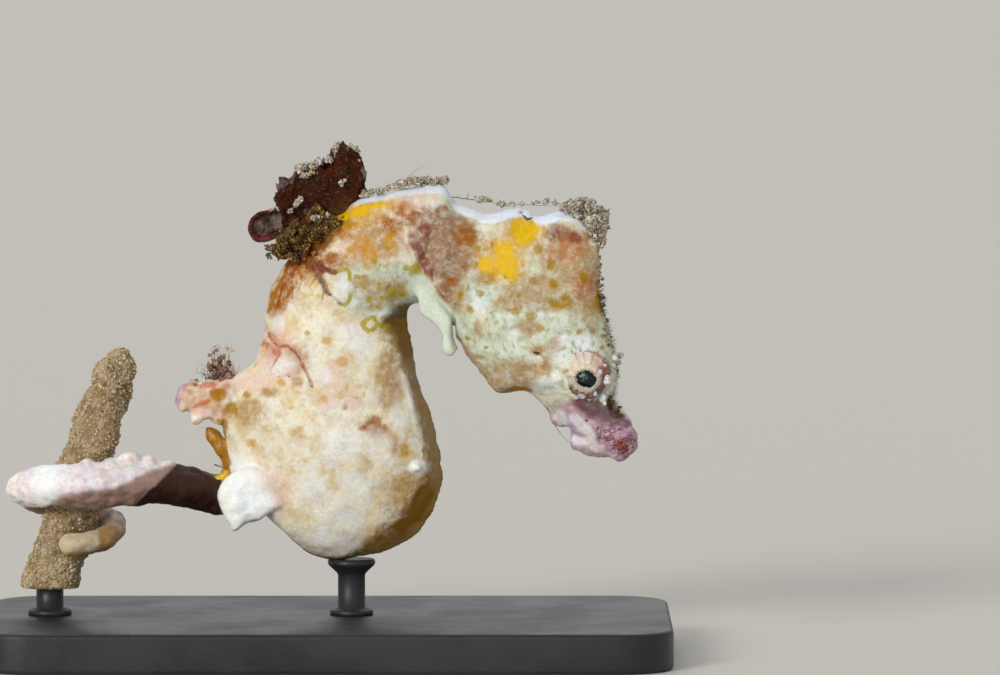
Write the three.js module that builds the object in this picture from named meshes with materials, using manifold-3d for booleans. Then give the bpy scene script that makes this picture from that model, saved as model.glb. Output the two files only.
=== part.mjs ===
// A pygmy seahorse gripping a cut stalk with its tail, life size, on a plain display stand.
// Millimetres, +Z up, the head towards +X. The origin is the middle of the stand's underside.

import * as THREE from "three";
import { mergeVertices } from "three/addons/utils/BufferGeometryUtils.js";
import Module from "manifold-3d";

const wasm = await Module();
wasm.setup();

// Driving sizes.
const gap = 0.04;
const finThickness = 0.5;
const coronetThickness = 0.34;
const trunkHalfWidth = 0.58;
const headHalfWidth = 0.43;
const neckHalfWidth = 0.4;
const snoutHalfWidth = 0.24;
const edgeSharpness = 1.2;
const ringRelief = 0.014;
const ringsPerRib = 2;

const eye = { x: 3.3, y: 0.3, z: 3.57, radius: 0.31, depth: 0.22 };
const headTurn = { angle: THREE.MathUtils.degToRad(10), from: 1.2, to: 2.4 };

const stalk = {
  foot: 0.85,
  top: 3.85,
  footX: -3.48,
  lean: 0.3,
  radius: 0.35,
  taper: 0.04,
  tipTaper: 0.1,
  knobs: 0.04,
  bluntFrom: 0.9,
  bluntTo: 1.04,
};
const wrap = { high: 2.18, low: 1.43, startRadius: 0.28 };
const tailRadius = { root: 0.25, bar: 0.29, tip: 0.13, barAt: 0.3 };
const tailLead = [[-0.95, 0.04, 1.95], [-1.45, 0.05, 2.02], [-2.03, -0.32, 2.18]];

// Each length of the tail and where it starts, as a share of the whole tail.
const tailLengths = [
  ["tail_root", 0],
  ["tail_bar", 0.17],
  ["tail_bend", 0.42],
  ["tail_back_wrap", 0.57],
  ["tail_side_wrap", 0.73],
  ["tail_tip", 0.88],
];
const tailCut = 0.005;
const finsClearTailTo = 0.3;

const base = { length: 8.6, depth: 4.6, thickness: 0.5, corner: 0.7, bevel: 0.06 };
const rod = { radius: 0.17, cradle: 0.3, bodyX: 0.3, cradleNeck: 1.02, cradleFoot: 1.12, cradleTop: 1.4 };

// Ribs of the body, from the mouth to the vent. Each runs from a place [x, z] on the crown or back
// to one on the throat or belly, and has a half width.
const rib = (back, belly, side) => ({ back, belly, side });
const ribs = {
  mouth: rib([3.88, 2.86], [3.72, 2.56], snoutHalfWidth * 0.65),
  lips: rib([3.84, 2.98], [3.55, 2.52], snoutHalfWidth),
  snoutWaist: rib([3.62, 3.1], [3.26, 2.64], snoutHalfWidth * 0.9),
  snoutRoot: rib([3.52, 3.22], [2.98, 2.86], snoutHalfWidth * 1.1),
  chin: rib([3.6, 3.42], [2.72, 3.14], headHalfWidth * 0.76),
  brow: rib([3.6, 3.85], [2.5, 3.3], headHalfWidth * 0.88),
  cheek: rib([3.46, 4.55], [2.14, 3.32], headHalfWidth),
  crown: rib([3.38, 5.2], [1.95, 3.55], headHalfWidth * 0.92),
  gillCover: rib([2.92, 5.5], [1.75, 3.8], headHalfWidth * 0.9),
  crestNotch: rib([2.64, 5.48], [1.68, 3.93], headHalfWidth * 0.9),
  crestSwell: rib([2.42, 5.61], [1.62, 4.02], headHalfWidth * 0.89),
  nape: rib([2.1, 5.52], [1.52, 4.14], headHalfWidth * 0.88),
  neckFront: rib([1.7, 5.65], [1.3, 4.36], neckHalfWidth * 0.95),
  crest: rib([1.47, 5.9], [1.15, 4.4], neckHalfWidth),
  neckBack: rib([0.95, 5.84], [1.06, 4.38], neckHalfWidth * 1.08),
  shoulder: rib([0.3, 5.62], [1.02, 4.3], trunkHalfWidth * 0.8),
  chestTop: rib([-0.35, 5.15], [1.04, 4.14], trunkHalfWidth * 0.86),
  chest: rib([-0.72, 4.5], [1.08, 3.85], trunkHalfWidth * 0.92),
  waist: rib([-0.86, 3.85], [1.18, 3.4], trunkHalfWidth * 0.97),
  bellyTop: rib([-1.12, 3.4], [1.36, 2.85], trunkHalfWidth),
  belly: rib([-1.33, 2.95], [1.45, 2.2], trunkHalfWidth),
  bellyEnd: rib([-1.3, 2.68], [1.1, 1.5], trunkHalfWidth * 0.9),
  vent: rib([-1.27, 2.5], [0.25, 1.18], trunkHalfWidth * 0.76),
  hipFront: rib([-1.26, 2.4], [-0.2, 1.27], trunkHalfWidth * 0.64),
  hip: rib([-1.22, 2.22], [-0.44, 1.46], trunkHalfWidth * 0.46),
};
const ribList = Object.values(ribs);
const ribAt = (name) => Object.keys(ribs).indexOf(name);

// Where the body is parted, counted in ribs from the mouth.
const cuts = {
  mouth: ribAt("mouth"),
  snout: ribAt("snoutRoot") + 0.5,
  head: ribAt("nape") + 0.5,
  neck: ribAt("neckBack") + 0.5,
  waist: ribAt("waist"),
  hip: ribAt("hip"),
};
const cutWidth = 0.07;
const wholeBodySteps = 60;
const bodySides = 20;
const snoutSides = 16;
const tailSides = 14;
const tailFrames = 60;
const tailSteps = 10;
const stalkSides = 14;
const stalkSteps = 14;
const mergeWithin = 1e-5;

// Outlines of the flat pieces, as smooth closed curves through a few places [x, z].
const outlines = {
  coronet: [[2.5, 5.3], [2.62, 5.52], [2.95, 5.6], [3.3, 5.48], [3.46, 5.15], [3.05, 5.0]],
  tuft: [[3.2, 5.56], [3.12, 5.72], [3.38, 5.78], [3.58, 5.64], [3.6, 5.3], [3.5, 5.2]],
  frond: [[-0.2, 5.1], [-0.6, 5.74], [-0.32, 6.12], [0.12, 6.38], [0.42, 6.28], [0.42, 5.85], [0.3, 5.4]],
  pectoralFin: [[1.1, 4.7], [1.42, 4.52], [1.6, 4.2], [1.62, 3.86], [1.5, 3.76], [1.4, 4.1], [1.2, 4.3]],
  backLappet: [[-0.7, 3.7], [-1.2, 3.5], [-1.65, 3.4], [-1.93, 3.2], [-1.7, 3.0], [-1.35, 3.05], [-0.8, 3.2]],
  dorsalFin: [[-1.1, 2.9], [-1.5, 2.88], [-1.66, 2.62], [-1.55, 2.36], [-1.1, 2.42], [-0.9, 2.66]],
  tailLappet: [
    [-1.1, 2.38], [-1.37, 2.16], [-1.38, 1.95], [-1.2, 1.58], [-0.86, 1.68], [-0.5, 1.86], [-0.6, 2.3],
  ],
};
const pectoralFinY = 0.34;
const tailLappetY = -0.4;
const frondLoop = { x: -0.66, z: 5.38, outer: [0.3, 0.23], inner: [0.17, 0.1] };
const outlineSteps = 4;

const finishes = {
  skin: { color: 0xd8cdb2, roughness: 0.55 },
  snout: { color: 0xc79ab8, roughness: 0.5 },
  eye: { color: 0xd9b7a0, roughness: 0.2 },
  pale: { color: 0xe6d8d6, roughness: 0.5 },
  fin: { color: 0xc9a84a, roughness: 0.35 },
  frond: { color: 0x4d2a26, roughness: 0.5 },
  stalk: { color: 0x8f7a5e, roughness: 0.9 },
  stand: { color: 0x2b2b2d, roughness: 0.6 },
};

const group = new THREE.Group();

function add(name, geometry, finish) {
  const material = new THREE.MeshStandardMaterial({ metalness: 0, ...finishes[finish] });
  const mesh = new THREE.Mesh(geometry, material);
  mesh.name = name;
  group.add(mesh);
}

// Everything past the neck swings about a vertical line, little by little along the neck.
function withHeadTurn(geometry) {
  const place = geometry.attributes.position;
  for (let i = 0; i < place.count; i += 1) {
    const x = place.getX(i);
    const y = place.getY(i);
    const angle = -headTurn.angle * THREE.MathUtils.smoothstep(x, headTurn.from, headTurn.to);
    const reach = x - headTurn.from;
    place.setX(i, headTurn.from + reach * Math.cos(angle) - y * Math.sin(angle));
    place.setY(i, reach * Math.sin(angle) + y * Math.cos(angle));
  }
  return geometry;
}

// A closed body over a row of rings, each with the same number of places, closed by a fan at each end.
function shell(rings) {
  const around = rings[0].length;
  const middle = (ring) => ring.reduce((sum, p) => sum.add(p), new THREE.Vector3()).divideScalar(around);
  const places = [...rings.flat(), middle(rings[0]), middle(rings[rings.length - 1])];
  const startCap = rings.length * around;
  const lastRing = startCap - around;
  const index = [];
  for (let j = 0; j < around; j += 1) {
    const k = (j + 1) % around;
    for (let i = 0; i < rings.length - 1; i += 1) {
      const a = i * around;
      const b = a + around;
      index.push(a + j, b + j, a + k, a + k, b + j, b + k);
    }
    index.push(startCap, j, k, startCap + 1, lastRing + k, lastRing + j);
  }
  const geometry = new THREE.BufferGeometry().setFromPoints(places);
  geometry.setIndex(index);
  return outward(geometry);
}

// Turns every face round if the body's signed volume shows that they point in.
function outward(geometry) {
  const index = geometry.index.array;
  const place = geometry.attributes.position;
  const corner = (i) => new THREE.Vector3().fromBufferAttribute(place, index[i]);
  let volume = 0;
  for (let i = 0; i < index.length; i += 3) {
    volume += corner(i).dot(corner(i + 1).cross(corner(i + 2)));
  }
  if (volume < 0) {
    geometry.setIndex(Array.from(index).reverse());
  }
  return geometry;
}

const curveThrough = (places) => new THREE.CatmullRomCurve3(places);
const backEdge = curveThrough(ribList.map(({ back }) => new THREE.Vector3(back[0], 0, back[1])));
const bellyEdge = curveThrough(ribList.map(({ belly }) => new THREE.Vector3(belly[0], 0, belly[1])));
const sideCurve = curveThrough(ribList.map(({ side }) => new THREE.Vector3(side, 0, 0)));

// The body between two cuts: each ring is an oval with a sharpened back and belly.
function bodyLength(from, to, steps, grow = 0, around = bodySides) {
  const rings = [];
  for (let i = 0; i <= steps; i += 1) {
    const place = THREE.MathUtils.lerp(from, to, i / steps);
    const t = place / (ribList.length - 1);
    const back = backEdge.getPoint(t);
    const belly = bellyEdge.getPoint(t);
    const centre = back.clone().add(belly).multiplyScalar(0.5);
    const reach = back.clone().sub(belly).multiplyScalar(0.5);
    const swell = 1 + ringRelief * Math.cos(2 * Math.PI * ringsPerRib * place) + grow / reach.length();
    const side = sideCurve.getPoint(t).x + grow;
    const ring = [];
    for (let j = 0; j < around; j += 1) {
      const angle = (2 * Math.PI * j) / around;
      const across = Math.sign(Math.sin(angle)) * Math.abs(Math.sin(angle)) ** edgeSharpness;
      const point = centre.clone().addScaledVector(reach, swell * Math.cos(angle));
      point.y = side * across;
      ring.push(point);
    }
    rings.push(ring);
  }
  return shell(rings);
}

// A round tube along a curve, with a radius given as a function of the way along it.
function tube(curve, radiusAt, from, to, steps) {
  const frames = curve.computeFrenetFrames(tailFrames, false);
  const rings = [];
  for (let i = 0; i <= steps; i += 1) {
    const t = THREE.MathUtils.lerp(from, to, i / steps);
    const centre = curve.getPointAt(t);
    const tangent = curve.getTangentAt(t);
    const normal = frames.normals[Math.round(t * tailFrames)].clone();
    normal.addScaledVector(tangent, -normal.dot(tangent)).normalize();
    const binormal = tangent.clone().cross(normal);
    const ring = [];
    for (let j = 0; j < tailSides; j += 1) {
      const angle = (2 * Math.PI * j) / tailSides;
      const point = centre.clone().addScaledVector(normal, radiusAt(t) * Math.cos(angle));
      ring.push(point.addScaledVector(binormal, radiusAt(t) * Math.sin(angle)));
    }
    rings.push(ring);
  }
  return shell(rings);
}

// A geometry as a solid that can be cut, and back again.
function solid(geometry) {
  const bare = geometry.clone();
  bare.deleteAttribute("normal");
  bare.deleteAttribute("uv");
  const merged = mergeVertices(bare, mergeWithin);
  const vertProperties = new Float32Array(merged.attributes.position.array);
  const triVerts = new Uint32Array(merged.index.array);
  return new wasm.Manifold(new wasm.Mesh({ numProp: 3, vertProperties, triVerts }));
}

function geometryOf(manifold) {
  const { vertProperties, triVerts } = manifold.getMesh();
  const geometry = new THREE.BufferGeometry();
  geometry.setAttribute("position", new THREE.BufferAttribute(new Float32Array(vertProperties), 3));
  geometry.setIndex(Array.from(triVerts));
  return geometry;
}

function cutBy(geometry, cutters) {
  return geometryOf(cutters.reduce((rest, cutter) => rest.subtract(solid(cutter)), solid(geometry)));
}

// A flat leaf-like plate in the X-Z plane: a smooth closed outline, given its thickness along Y.
function plate(outline, thickness = finThickness, y = 0) {
  const curve = new THREE.CatmullRomCurve3(outline.map(([x, z]) => new THREE.Vector3(x, z, 0)), true);
  const shape = new THREE.Shape(curve.getPoints(outline.length * outlineSteps).slice(0, -1));
  const geometry = new THREE.ExtrudeGeometry(shape, { depth: thickness, bevelEnabled: false, steps: 1 });
  geometry.rotateX(Math.PI / 2);
  geometry.translate(0, y + thickness / 2, 0);
  return geometry;
}

// An oval ring in the X-Z plane, for the loop of the nape frond.
function loopPlate({ x, z, outer, inner }) {
  const shape = new THREE.Shape().absellipse(x, z, outer[0], outer[1], 0, 2 * Math.PI);
  shape.holes.push(new THREE.Path().absellipse(x, z, inner[0], inner[1], 0, 2 * Math.PI));
  const settings = { depth: finThickness, bevelEnabled: false, curveSegments: 10 };
  const geometry = new THREE.ExtrudeGeometry(shape, settings);
  geometry.rotateX(Math.PI / 2);
  geometry.translate(0, finThickness / 2, 0);
  return geometry;
}

// A rounded turret, flatter across the head than along it.
function eyeball(side, grow = 0) {
  const geometry = new THREE.SphereGeometry(1, 18, 12);
  geometry.scale(eye.radius + grow, eye.depth + grow, eye.radius + grow);
  geometry.translate(eye.x, side * eye.y, eye.z);
  return geometry;
}

// The middle of the leaning stalk at a height.
const stalkX = (z) => stalk.footX + stalk.lean * (z - stalk.foot);

// One falling turn of the tail about the stalk: from its front, round the left, back and right.
function wrapPlace(turn) {
  const angle = 2 * Math.PI * turn;
  const z = THREE.MathUtils.lerp(wrap.high, wrap.low, THREE.MathUtils.smoothstep(turn, 0, 1));
  const radius = THREE.MathUtils.lerp(wrap.startRadius, tailRadius.tip, turn);
  const clear = stalk.radius + stalk.knobs + gap + radius;
  return new THREE.Vector3(stalkX(z) - clear * Math.sin(angle), -clear * Math.cos(angle), z);
}

// The tail's middle line: from the hip to the stalk's front, then the turn about the stalk.
function tailCurve() {
  const steps = 10;
  const places = tailLead.map((place) => new THREE.Vector3(...place));
  for (let i = 0; i <= steps; i += 1) {
    places.push(wrapPlace(i / steps));
  }
  return new THREE.CatmullRomCurve3(places);
}

// The tail swells a little from the hip to the stalk, then narrows evenly to its tip.
function tailRadiusAt(t) {
  const swell = THREE.MathUtils.smoothstep(t, 0, tailRadius.barAt);
  const narrow = Math.max(t - tailRadius.barAt, 0) / (1 - tailRadius.barAt);
  const thick = THREE.MathUtils.lerp(tailRadius.root, tailRadius.bar, swell);
  return THREE.MathUtils.lerp(thick, tailRadius.tip, narrow);
}

// The cut stalk: a leaning, slightly knobbly round stem with a blunt top.
function stalkSolid() {
  const rings = [];
  for (let i = 0; i <= stalkSteps; i += 1) {
    const t = i / stalkSteps;
    const z = THREE.MathUtils.lerp(stalk.foot, stalk.top, t);
    const blunt = Math.sqrt(1 - THREE.MathUtils.smoothstep(t, stalk.bluntFrom, stalk.bluntTo));
    const ring = [];
    for (let j = 0; j < stalkSides; j += 1) {
      const angle = (2 * Math.PI * j) / stalkSides;
      const knob = stalk.knobs * Math.sin(7 * z + 2 * angle) * Math.cos(3 * z - angle);
      const radius = (stalk.radius - stalk.taper * t - stalk.tipTaper * t ** 4 + knob) * blunt;
      ring.push(new THREE.Vector3(stalkX(z) + radius * Math.cos(angle), radius * Math.sin(angle), z));
    }
    rings.push(ring);
  }
  return shell(rings);
}

// The stand's base: a plate with rounded corners and a small bevel.
function baseSolid() {
  const x = base.length / 2 - base.bevel;
  const y = base.depth / 2 - base.bevel;
  const shape = new THREE.Shape();
  shape.absarc(x - base.corner, y - base.corner, base.corner, 0, Math.PI / 2);
  shape.absarc(-x + base.corner, y - base.corner, base.corner, Math.PI / 2, Math.PI);
  shape.absarc(-x + base.corner, -y + base.corner, base.corner, Math.PI, 1.5 * Math.PI);
  shape.absarc(x - base.corner, -y + base.corner, base.corner, 1.5 * Math.PI, 2 * Math.PI);
  const depth = base.thickness - 2 * base.bevel;
  const bevel = { bevelSize: base.bevel, bevelThickness: base.bevel, bevelSegments: 2 };
  const geometry = new THREE.ExtrudeGeometry(shape, { depth, curveSegments: 6, ...bevel });
  geometry.translate(0, 0, base.bevel);
  return geometry;
}

// An upright round profile [radius, z] turned about a vertical line at x.
function lathe(profile, x) {
  const geometry = new THREE.LatheGeometry(profile.map(([r, z]) => new THREE.Vector2(r, z)), 16);
  geometry.rotateX(Math.PI / 2);
  geometry.translate(x, 0, 0);
  return geometry;
}

// The body, parted by thin cuts.
const sockets = [eyeball(1, gap), eyeball(-1, gap)];
const snout = bodyLength(cuts.mouth, cuts.snout, 8, 0, snoutSides);
add("snout", withHeadTurn(cutBy(snout, sockets)), "snout");
add("head", withHeadTurn(cutBy(bodyLength(cuts.snout + cutWidth, cuts.head, 14), sockets)), "skin");
add("neck", withHeadTurn(bodyLength(cuts.head + cutWidth, cuts.neck, 8)), "skin");
add("trunk_front", bodyLength(cuts.neck + cutWidth, cuts.waist, 10), "skin");
add("trunk_rear", bodyLength(cuts.waist + cutWidth, cuts.hip, 14), "skin");

for (const [name, side] of [["left", 1], ["right", -1]]) {
  add(`eye_${name}`, withHeadTurn(eyeball(side)), "eye");
}

// Fins, lappets and fronds, cut back to lie against the body.
const wholeBody = bodyLength(cuts.mouth, cuts.hip, wholeBodySteps, gap);
const tail = tailCurve();
const tailRootGrown = tube(tail, (t) => tailRadiusAt(t) + gap, 0, finsClearTailTo, tailSteps);
const coronet = cutBy(plate(outlines.coronet, coronetThickness), [wholeBody]);
const coronetGrown = plate(outlines.coronet, coronetThickness + 2 * gap);
coronetGrown.translate(gap, 0, gap);
add("coronet", withHeadTurn(coronet), "pale");
add("coronet_tuft", withHeadTurn(cutBy(plate(outlines.tuft), [wholeBody, coronetGrown])), "frond");
for (const [name, side] of [["left", 1], ["right", -1]]) {
  const fin = plate(outlines.pectoralFin, finThickness, side * pectoralFinY);
  add(`pectoral_fin_${name}`, withHeadTurn(cutBy(fin, [wholeBody])), "pale");
}
add("nape_frond", cutBy(plate(outlines.frond), [wholeBody]), "frond");
const frondGrown = plate(outlines.frond, finThickness + 2 * gap);
frondGrown.translate(-gap, 0, 0);
add("nape_frond_loop", cutBy(loopPlate(frondLoop), [wholeBody, frondGrown]), "frond");
add("back_lappet", cutBy(plate(outlines.backLappet), [wholeBody]), "pale");
const lappetGrown = plate(outlines.backLappet, finThickness + 2 * gap);
lappetGrown.translate(0, 0, -gap);
add("dorsal_fin", cutBy(plate(outlines.dorsalFin), [wholeBody, lappetGrown, tailRootGrown]), "fin");
const tailLappet = plate(outlines.tailLappet, finThickness, tailLappetY);
add("tail_lappet", cutBy(tailLappet, [wholeBody, tailRootGrown]), "pale");

// The tail, in lengths, from the hip to its blunt tip.
for (const [i, [name, start]] of tailLengths.entries()) {
  const end = i + 1 < tailLengths.length ? tailLengths[i + 1][1] : 1;
  const length = tube(tail, tailRadiusAt, start + tailCut, end, tailSteps);
  add(name, i === 0 ? cutBy(length, [wholeBody]) : length, "pale");
}

// The perch, and the stand that holds it and the belly.
add("perch_stalk", stalkSolid(), "stalk");
add("stand_base", baseSolid(), "stand");
const rodFoot = base.thickness + gap;
const perchRodTop = stalk.foot - gap;
const perchRod = [[0, rodFoot], [rod.radius, rodFoot], [rod.radius, perchRodTop], [0, perchRodTop]];
add("stand_rod_perch", lathe(perchRod, stalk.footX), "stand");
const bodyRod = [[0, rodFoot], [rod.radius, rodFoot], [rod.radius, rod.cradleNeck]];
bodyRod.push([rod.cradle, rod.cradleFoot], [rod.cradle, rod.cradleTop], [0, rod.cradleTop]);
add("stand_rod_body", cutBy(lathe(bodyRod, rod.bodyX), [wholeBody]), "stand");

export default group;
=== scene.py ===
"""A pygmy seahorse that grips a cut stalk with its tail, life size, on a plain display stand.

Everything is laid out in millimetres with the head towards +X and is put into the scene in metres.
"""

import math

import bpy
import numpy as np
from bpy.props import FloatProperty, FloatVectorProperty, IntProperty, PointerProperty
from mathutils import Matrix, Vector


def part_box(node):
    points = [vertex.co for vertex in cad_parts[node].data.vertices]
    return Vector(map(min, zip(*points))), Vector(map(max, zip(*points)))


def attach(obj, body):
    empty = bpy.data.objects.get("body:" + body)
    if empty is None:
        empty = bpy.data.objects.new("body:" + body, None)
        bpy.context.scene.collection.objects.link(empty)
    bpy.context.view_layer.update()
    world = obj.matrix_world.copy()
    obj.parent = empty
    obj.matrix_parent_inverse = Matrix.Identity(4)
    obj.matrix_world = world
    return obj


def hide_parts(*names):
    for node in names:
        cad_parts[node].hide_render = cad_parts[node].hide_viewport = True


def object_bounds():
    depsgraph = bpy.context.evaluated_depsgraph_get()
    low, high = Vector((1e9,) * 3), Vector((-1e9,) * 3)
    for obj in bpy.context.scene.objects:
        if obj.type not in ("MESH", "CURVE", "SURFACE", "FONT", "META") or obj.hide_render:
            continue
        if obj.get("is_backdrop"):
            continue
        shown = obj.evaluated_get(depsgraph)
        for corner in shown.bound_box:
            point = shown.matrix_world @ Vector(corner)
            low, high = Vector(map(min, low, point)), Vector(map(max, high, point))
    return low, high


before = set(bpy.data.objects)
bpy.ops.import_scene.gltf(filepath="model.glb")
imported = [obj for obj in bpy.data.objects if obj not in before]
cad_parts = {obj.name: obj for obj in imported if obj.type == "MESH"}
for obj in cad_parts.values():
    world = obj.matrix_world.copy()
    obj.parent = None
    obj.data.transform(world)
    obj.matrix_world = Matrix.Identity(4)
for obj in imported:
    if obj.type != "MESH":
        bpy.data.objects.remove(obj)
cad_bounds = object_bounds()

bl_info = {
    "name": "Pygmy seahorse on a stalk",
    "version": (1, 0, 0),
    "blender": (4, 5, 0),
    "location": "View3D > Sidebar > Seahorse",
    "description": "Builds the skin, eyes, fins, debris, perch and stand of a life-size pygmy seahorse",
    "category": "Add Mesh",
}

MM = 0.001
BODY = "root"


# ---- Settings


def length(name, millimetres, description):
    """A length property, given in millimetres and kept in metres."""
    return FloatProperty(
        name=name,
        description=description,
        default=millimetres * MM,
        min=0.0,
        precision=6,
        unit="LENGTH",
        subtype="DISTANCE",
    )


def number(name, default, description, kind=FloatProperty, low=0):
    """A plain number property."""
    return kind(name=name, description=description, default=default, min=low)


def linear(code):
    """A screen colour such as 0xE9DDBD as linear red, green and blue."""
    shares = [((code >> shift) & 255) / 255 for shift in (16, 8, 0)]
    return tuple(s / 12.92 if s <= 0.04045 else ((s + 0.055) / 1.055) ** 2.4 for s in shares)


def colour(name, code, description):
    """A colour property with its default given as a screen colour."""
    return FloatVectorProperty(
        name=name, description=description, default=linear(code), size=3, min=0.0, max=1.0, subtype="COLOR"
    )


class SeahorseShape(bpy.types.PropertyGroup):
    """Sizes of the body, the tail and their skin."""

    trunk_half_width: length("Trunk half width", 0.58, "Half the trunk's width at its broadest")
    head_half_width: length("Head half width", 0.43, "Half the head's width across the cheeks")
    neck_half_width: length("Neck half width", 0.4, "Half the neck's width")
    snout_half_width: length("Snout half width", 0.24, "Half the snout's width at the lips")
    skin_inset: length("Skin inset", 0.012, "How far the skin lies inside the carved solids")
    weld_size: length("Weld size", 0.0262, "Grid size at which body, tail and lappets become one skin")
    ring_relief: length("Ring relief", 0.006, "Height of the bony rings under the skin")
    tail_root_radius: length("Tail root radius", 0.25, "Radius of the tail where it leaves the hip")
    tail_bar_radius: length("Tail bar radius", 0.29, "Radius of the tail where it crosses the stalk")
    tail_tip_radius: length("Tail tip radius", 0.13, "Radius of the tail's blunt tip")
    weld_rounds: number("Weld rounds", 4, "Smoothing rounds after welding", IntProperty)


class SeahorseColours(bpy.types.PropertyGroup):
    """Colours of the skin and its marks."""

    cream: colour("Cream", 0xEBE4CC, "Light ground of the trunk")
    beige: colour("Beige", 0xDCC8A0, "Warm blotches of the trunk")
    sand: colour("Sand", 0xB8935A, "Darkest blotches of the trunk")
    pearl: colour("Pearl", 0xF2F3F4, "White network and ridge edges")
    pale: colour("Pale blue", 0xDAE4DA, "Palest skin of the cheek and the blade below the neck")
    frost: colour("Frost", 0xFAFDFF, "Blue-white of the lobe below the hip")
    cool: colour("Cool white", 0xBCC2AC, "Blue-white of the cheek and lower neck")
    cool_shade: colour("Cool shade", 0x907850, "Mottling of the cheek")
    mauve: colour("Mauve", 0x94705A, "Brown-mauve neck and crown patches")
    # Violet deepens the mauve as painted shade in the neck's crease and in the hollow under the coronet.
    violet: colour("Violet", 0x844E48, "Deepest mauve, along the neck's crease")
    yellow: colour("Yellow", 0xE8BC00, "Bright yellow patches")
    gilt: colour("Gilt", 0xC8963A, "Golden tint of the neck and shoulder")
    olive: colour("Olive", 0xA8981C, "Hooked and ringed marks of the neck")
    ochre: colour("Ochre", 0xA3801E, "Round spots of the head")
    rust: colour("Rust", 0x9A5A22, "Orange-brown patches")
    flush: colour("Flush", 0xC0765A, "Red patch and line of the back")
    # Umber is painted shade in the hollow under the neck and along the belly's lower edge by the keel; it
    # also colours the eye's ticks, the fin's root and a knot on the stalk.
    umber: colour("Umber", 0x583A06, "Keel strip and hollow under the neck")
    amber: colour("Amber", 0x9E6A08, "Fin base and thin rims")
    vein: colour("Vein red", 0x8A3A22, "Fold lines, veins and the snout's network")
    lilac: colour("Lilac", 0xB294B0, "Snout")
    pink: colour("Pink", 0xEBCFC4, "Flushed skin of the lappets and the back")
    tail: colour("Tail", 0xEAD9DF, "Pink-white of the tail")
    # Painted shade on the tail's underside and on its turn behind the stalk.
    tail_underside_shade: colour("Tail underside", 0x86604A, "Brown-pink underside of the tail")
    tip: colour("Tail tip", 0xC8B89C, "Grey-cream of the tail's tip")
    # The lead's dark brown is partly its own colour and partly painted shade of the stretch from the hip to
    # the perch.
    lead: colour("Tail root brown", 0x2C150A, "Dark stretch between the hip and the perch")
    # Dusk is painted shade: on the snout's upper side below the eye, and deepest on the eye turret's side
    # away from the light.
    dusk_shade: colour("Dusk", 0x5A2E30, "Dark brown-violet of the snout's upper side")
    # Tan is the skin's own in patches, and painted shade in the brow's fold, round the cheek's lower rim
    # and on the belly's lower right.
    tan: colour("Tan", 0xA2763C, "Tan patches of the brow and neck")
    # Bluish white is the crest's pale edge, partly its own colour and partly a painted highlight along the
    # top.
    bluish: colour("Bluish white", 0xE8EFFE, "Bright upper edge of the crest")
    # The keel's brown is partly the strip's own colour and partly painted shade on its down-facing facet.
    keel: colour("Keel", 0x86683A, "Keel strip along the belly")
    scar: colour("Scar", 0x5C2616, "Dark lines that run down from the frond's foot")
    pore: colour("Pore", 0x2E2416, "Dark pores")


class SeahorseEyes(bpy.types.PropertyGroup):
    """Sizes and colours of the two eyes."""

    radius: length("Turret radius", 0.31, "Radius of the eye turret along the head")
    depth: length("Turret depth", 0.22, "How far the turret stands out of the head")
    pupil: length("Pupil radius", 0.128, "Radius of the pupil")
    spokes: number("Spokes", 15, "Radial marks on the rim", IntProperty, 4)
    ground: colour("Ground", 0xCDB7A2, "Beige skin round the pupil")
    # Bruise is the turret's own violet-brown; with dusk over it, it is also painted shade on the turret's
    # side away from the light.
    bruise: colour("Bruise", 0x7E5456, "Violet-brown skin between the knobs")
    lid: colour("Lid", 0xE8D6C8, "Peach skin of the turret")
    spoke: colour("Spoke", 0xB8705C, "Red radial marks")
    black: colour("Black", 0x0B0D0E, "Pupil")
    # Glint: a painted reflection in the pupil's upper left.
    glint: colour("Glint", 0x5E8C82, "Blue-green flecks in the pupil")


class SeahorseFronds(bpy.types.PropertyGroup):
    """Sizes and colours of the nape frond, its loop, the dorsal fin and the debris."""

    frond_thickness: length("Frond thickness", 0.012, "Half the thickness of a frond leaf at its foot")
    fin_thickness: length("Fin thickness", 0.03, "Thickness of the dorsal fin at its rays")
    grain: length("Grain size", 0.0115, "Usual radius of a grain of debris")
    maroon: colour("Maroon", 0x541E06, "Frond membrane")
    fold: colour("Fold", 0xA0683C, "Paler folds of the frond")
    magenta: colour("Magenta", 0x7A1F40, "Rim of the loop")
    olive: colour("Olive", 0x644A20, "Foot of the frond and fuzz on the brow")
    ochre: colour("Ochre grains", 0x86642E, "Lighter grains of the foot")
    plum: colour("Plum", 0xA07C70, "Tuft over the spur")
    shadow: colour("Shadow", 0x6A5B4A, "Darkest silt")
    silt: colour("Silt", 0xB2A898, "Silt grains")
    pale_silt: colour("Pale silt", 0xE0DACE, "Palest silt and beads")
    gold: colour("Gold", 0xC08C34, "Golden grains")
    soot: colour("Soot", 0x34180A, "Dark folds and grains")


class SeahorsePerch(bpy.types.PropertyGroup):
    """Sizes and colours of the stalk and of the stand."""

    stalk_radius: length("Stalk radius", 0.35, "Radius of the stalk at its foot")
    stalk_taper: length("Stalk taper", 0.04, "How much thinner the stalk gets along its length")
    stalk_tip_taper: length("Tip taper", 0.1, "How much thinner the stalk gets near its top")
    rod_radius: length("Rod radius", 0.17, "Radius of the stand's rods")
    stalk_light: colour("Stalk light", 0xB9A384, "Light sand on the stalk")
    stalk_pale: colour("Stalk pale", 0xCABDA4, "Palest grains of the stalk")
    stalk_dark: colour("Stalk dark", 0x8E7853, "Hollows of the stalk")
    stalk_shade: colour("Stalk shade", 0x6E5426, "Olive-brown stain on the stalk")
    stand: colour("Stand", 0x222326, "Painted base and rods")


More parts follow.
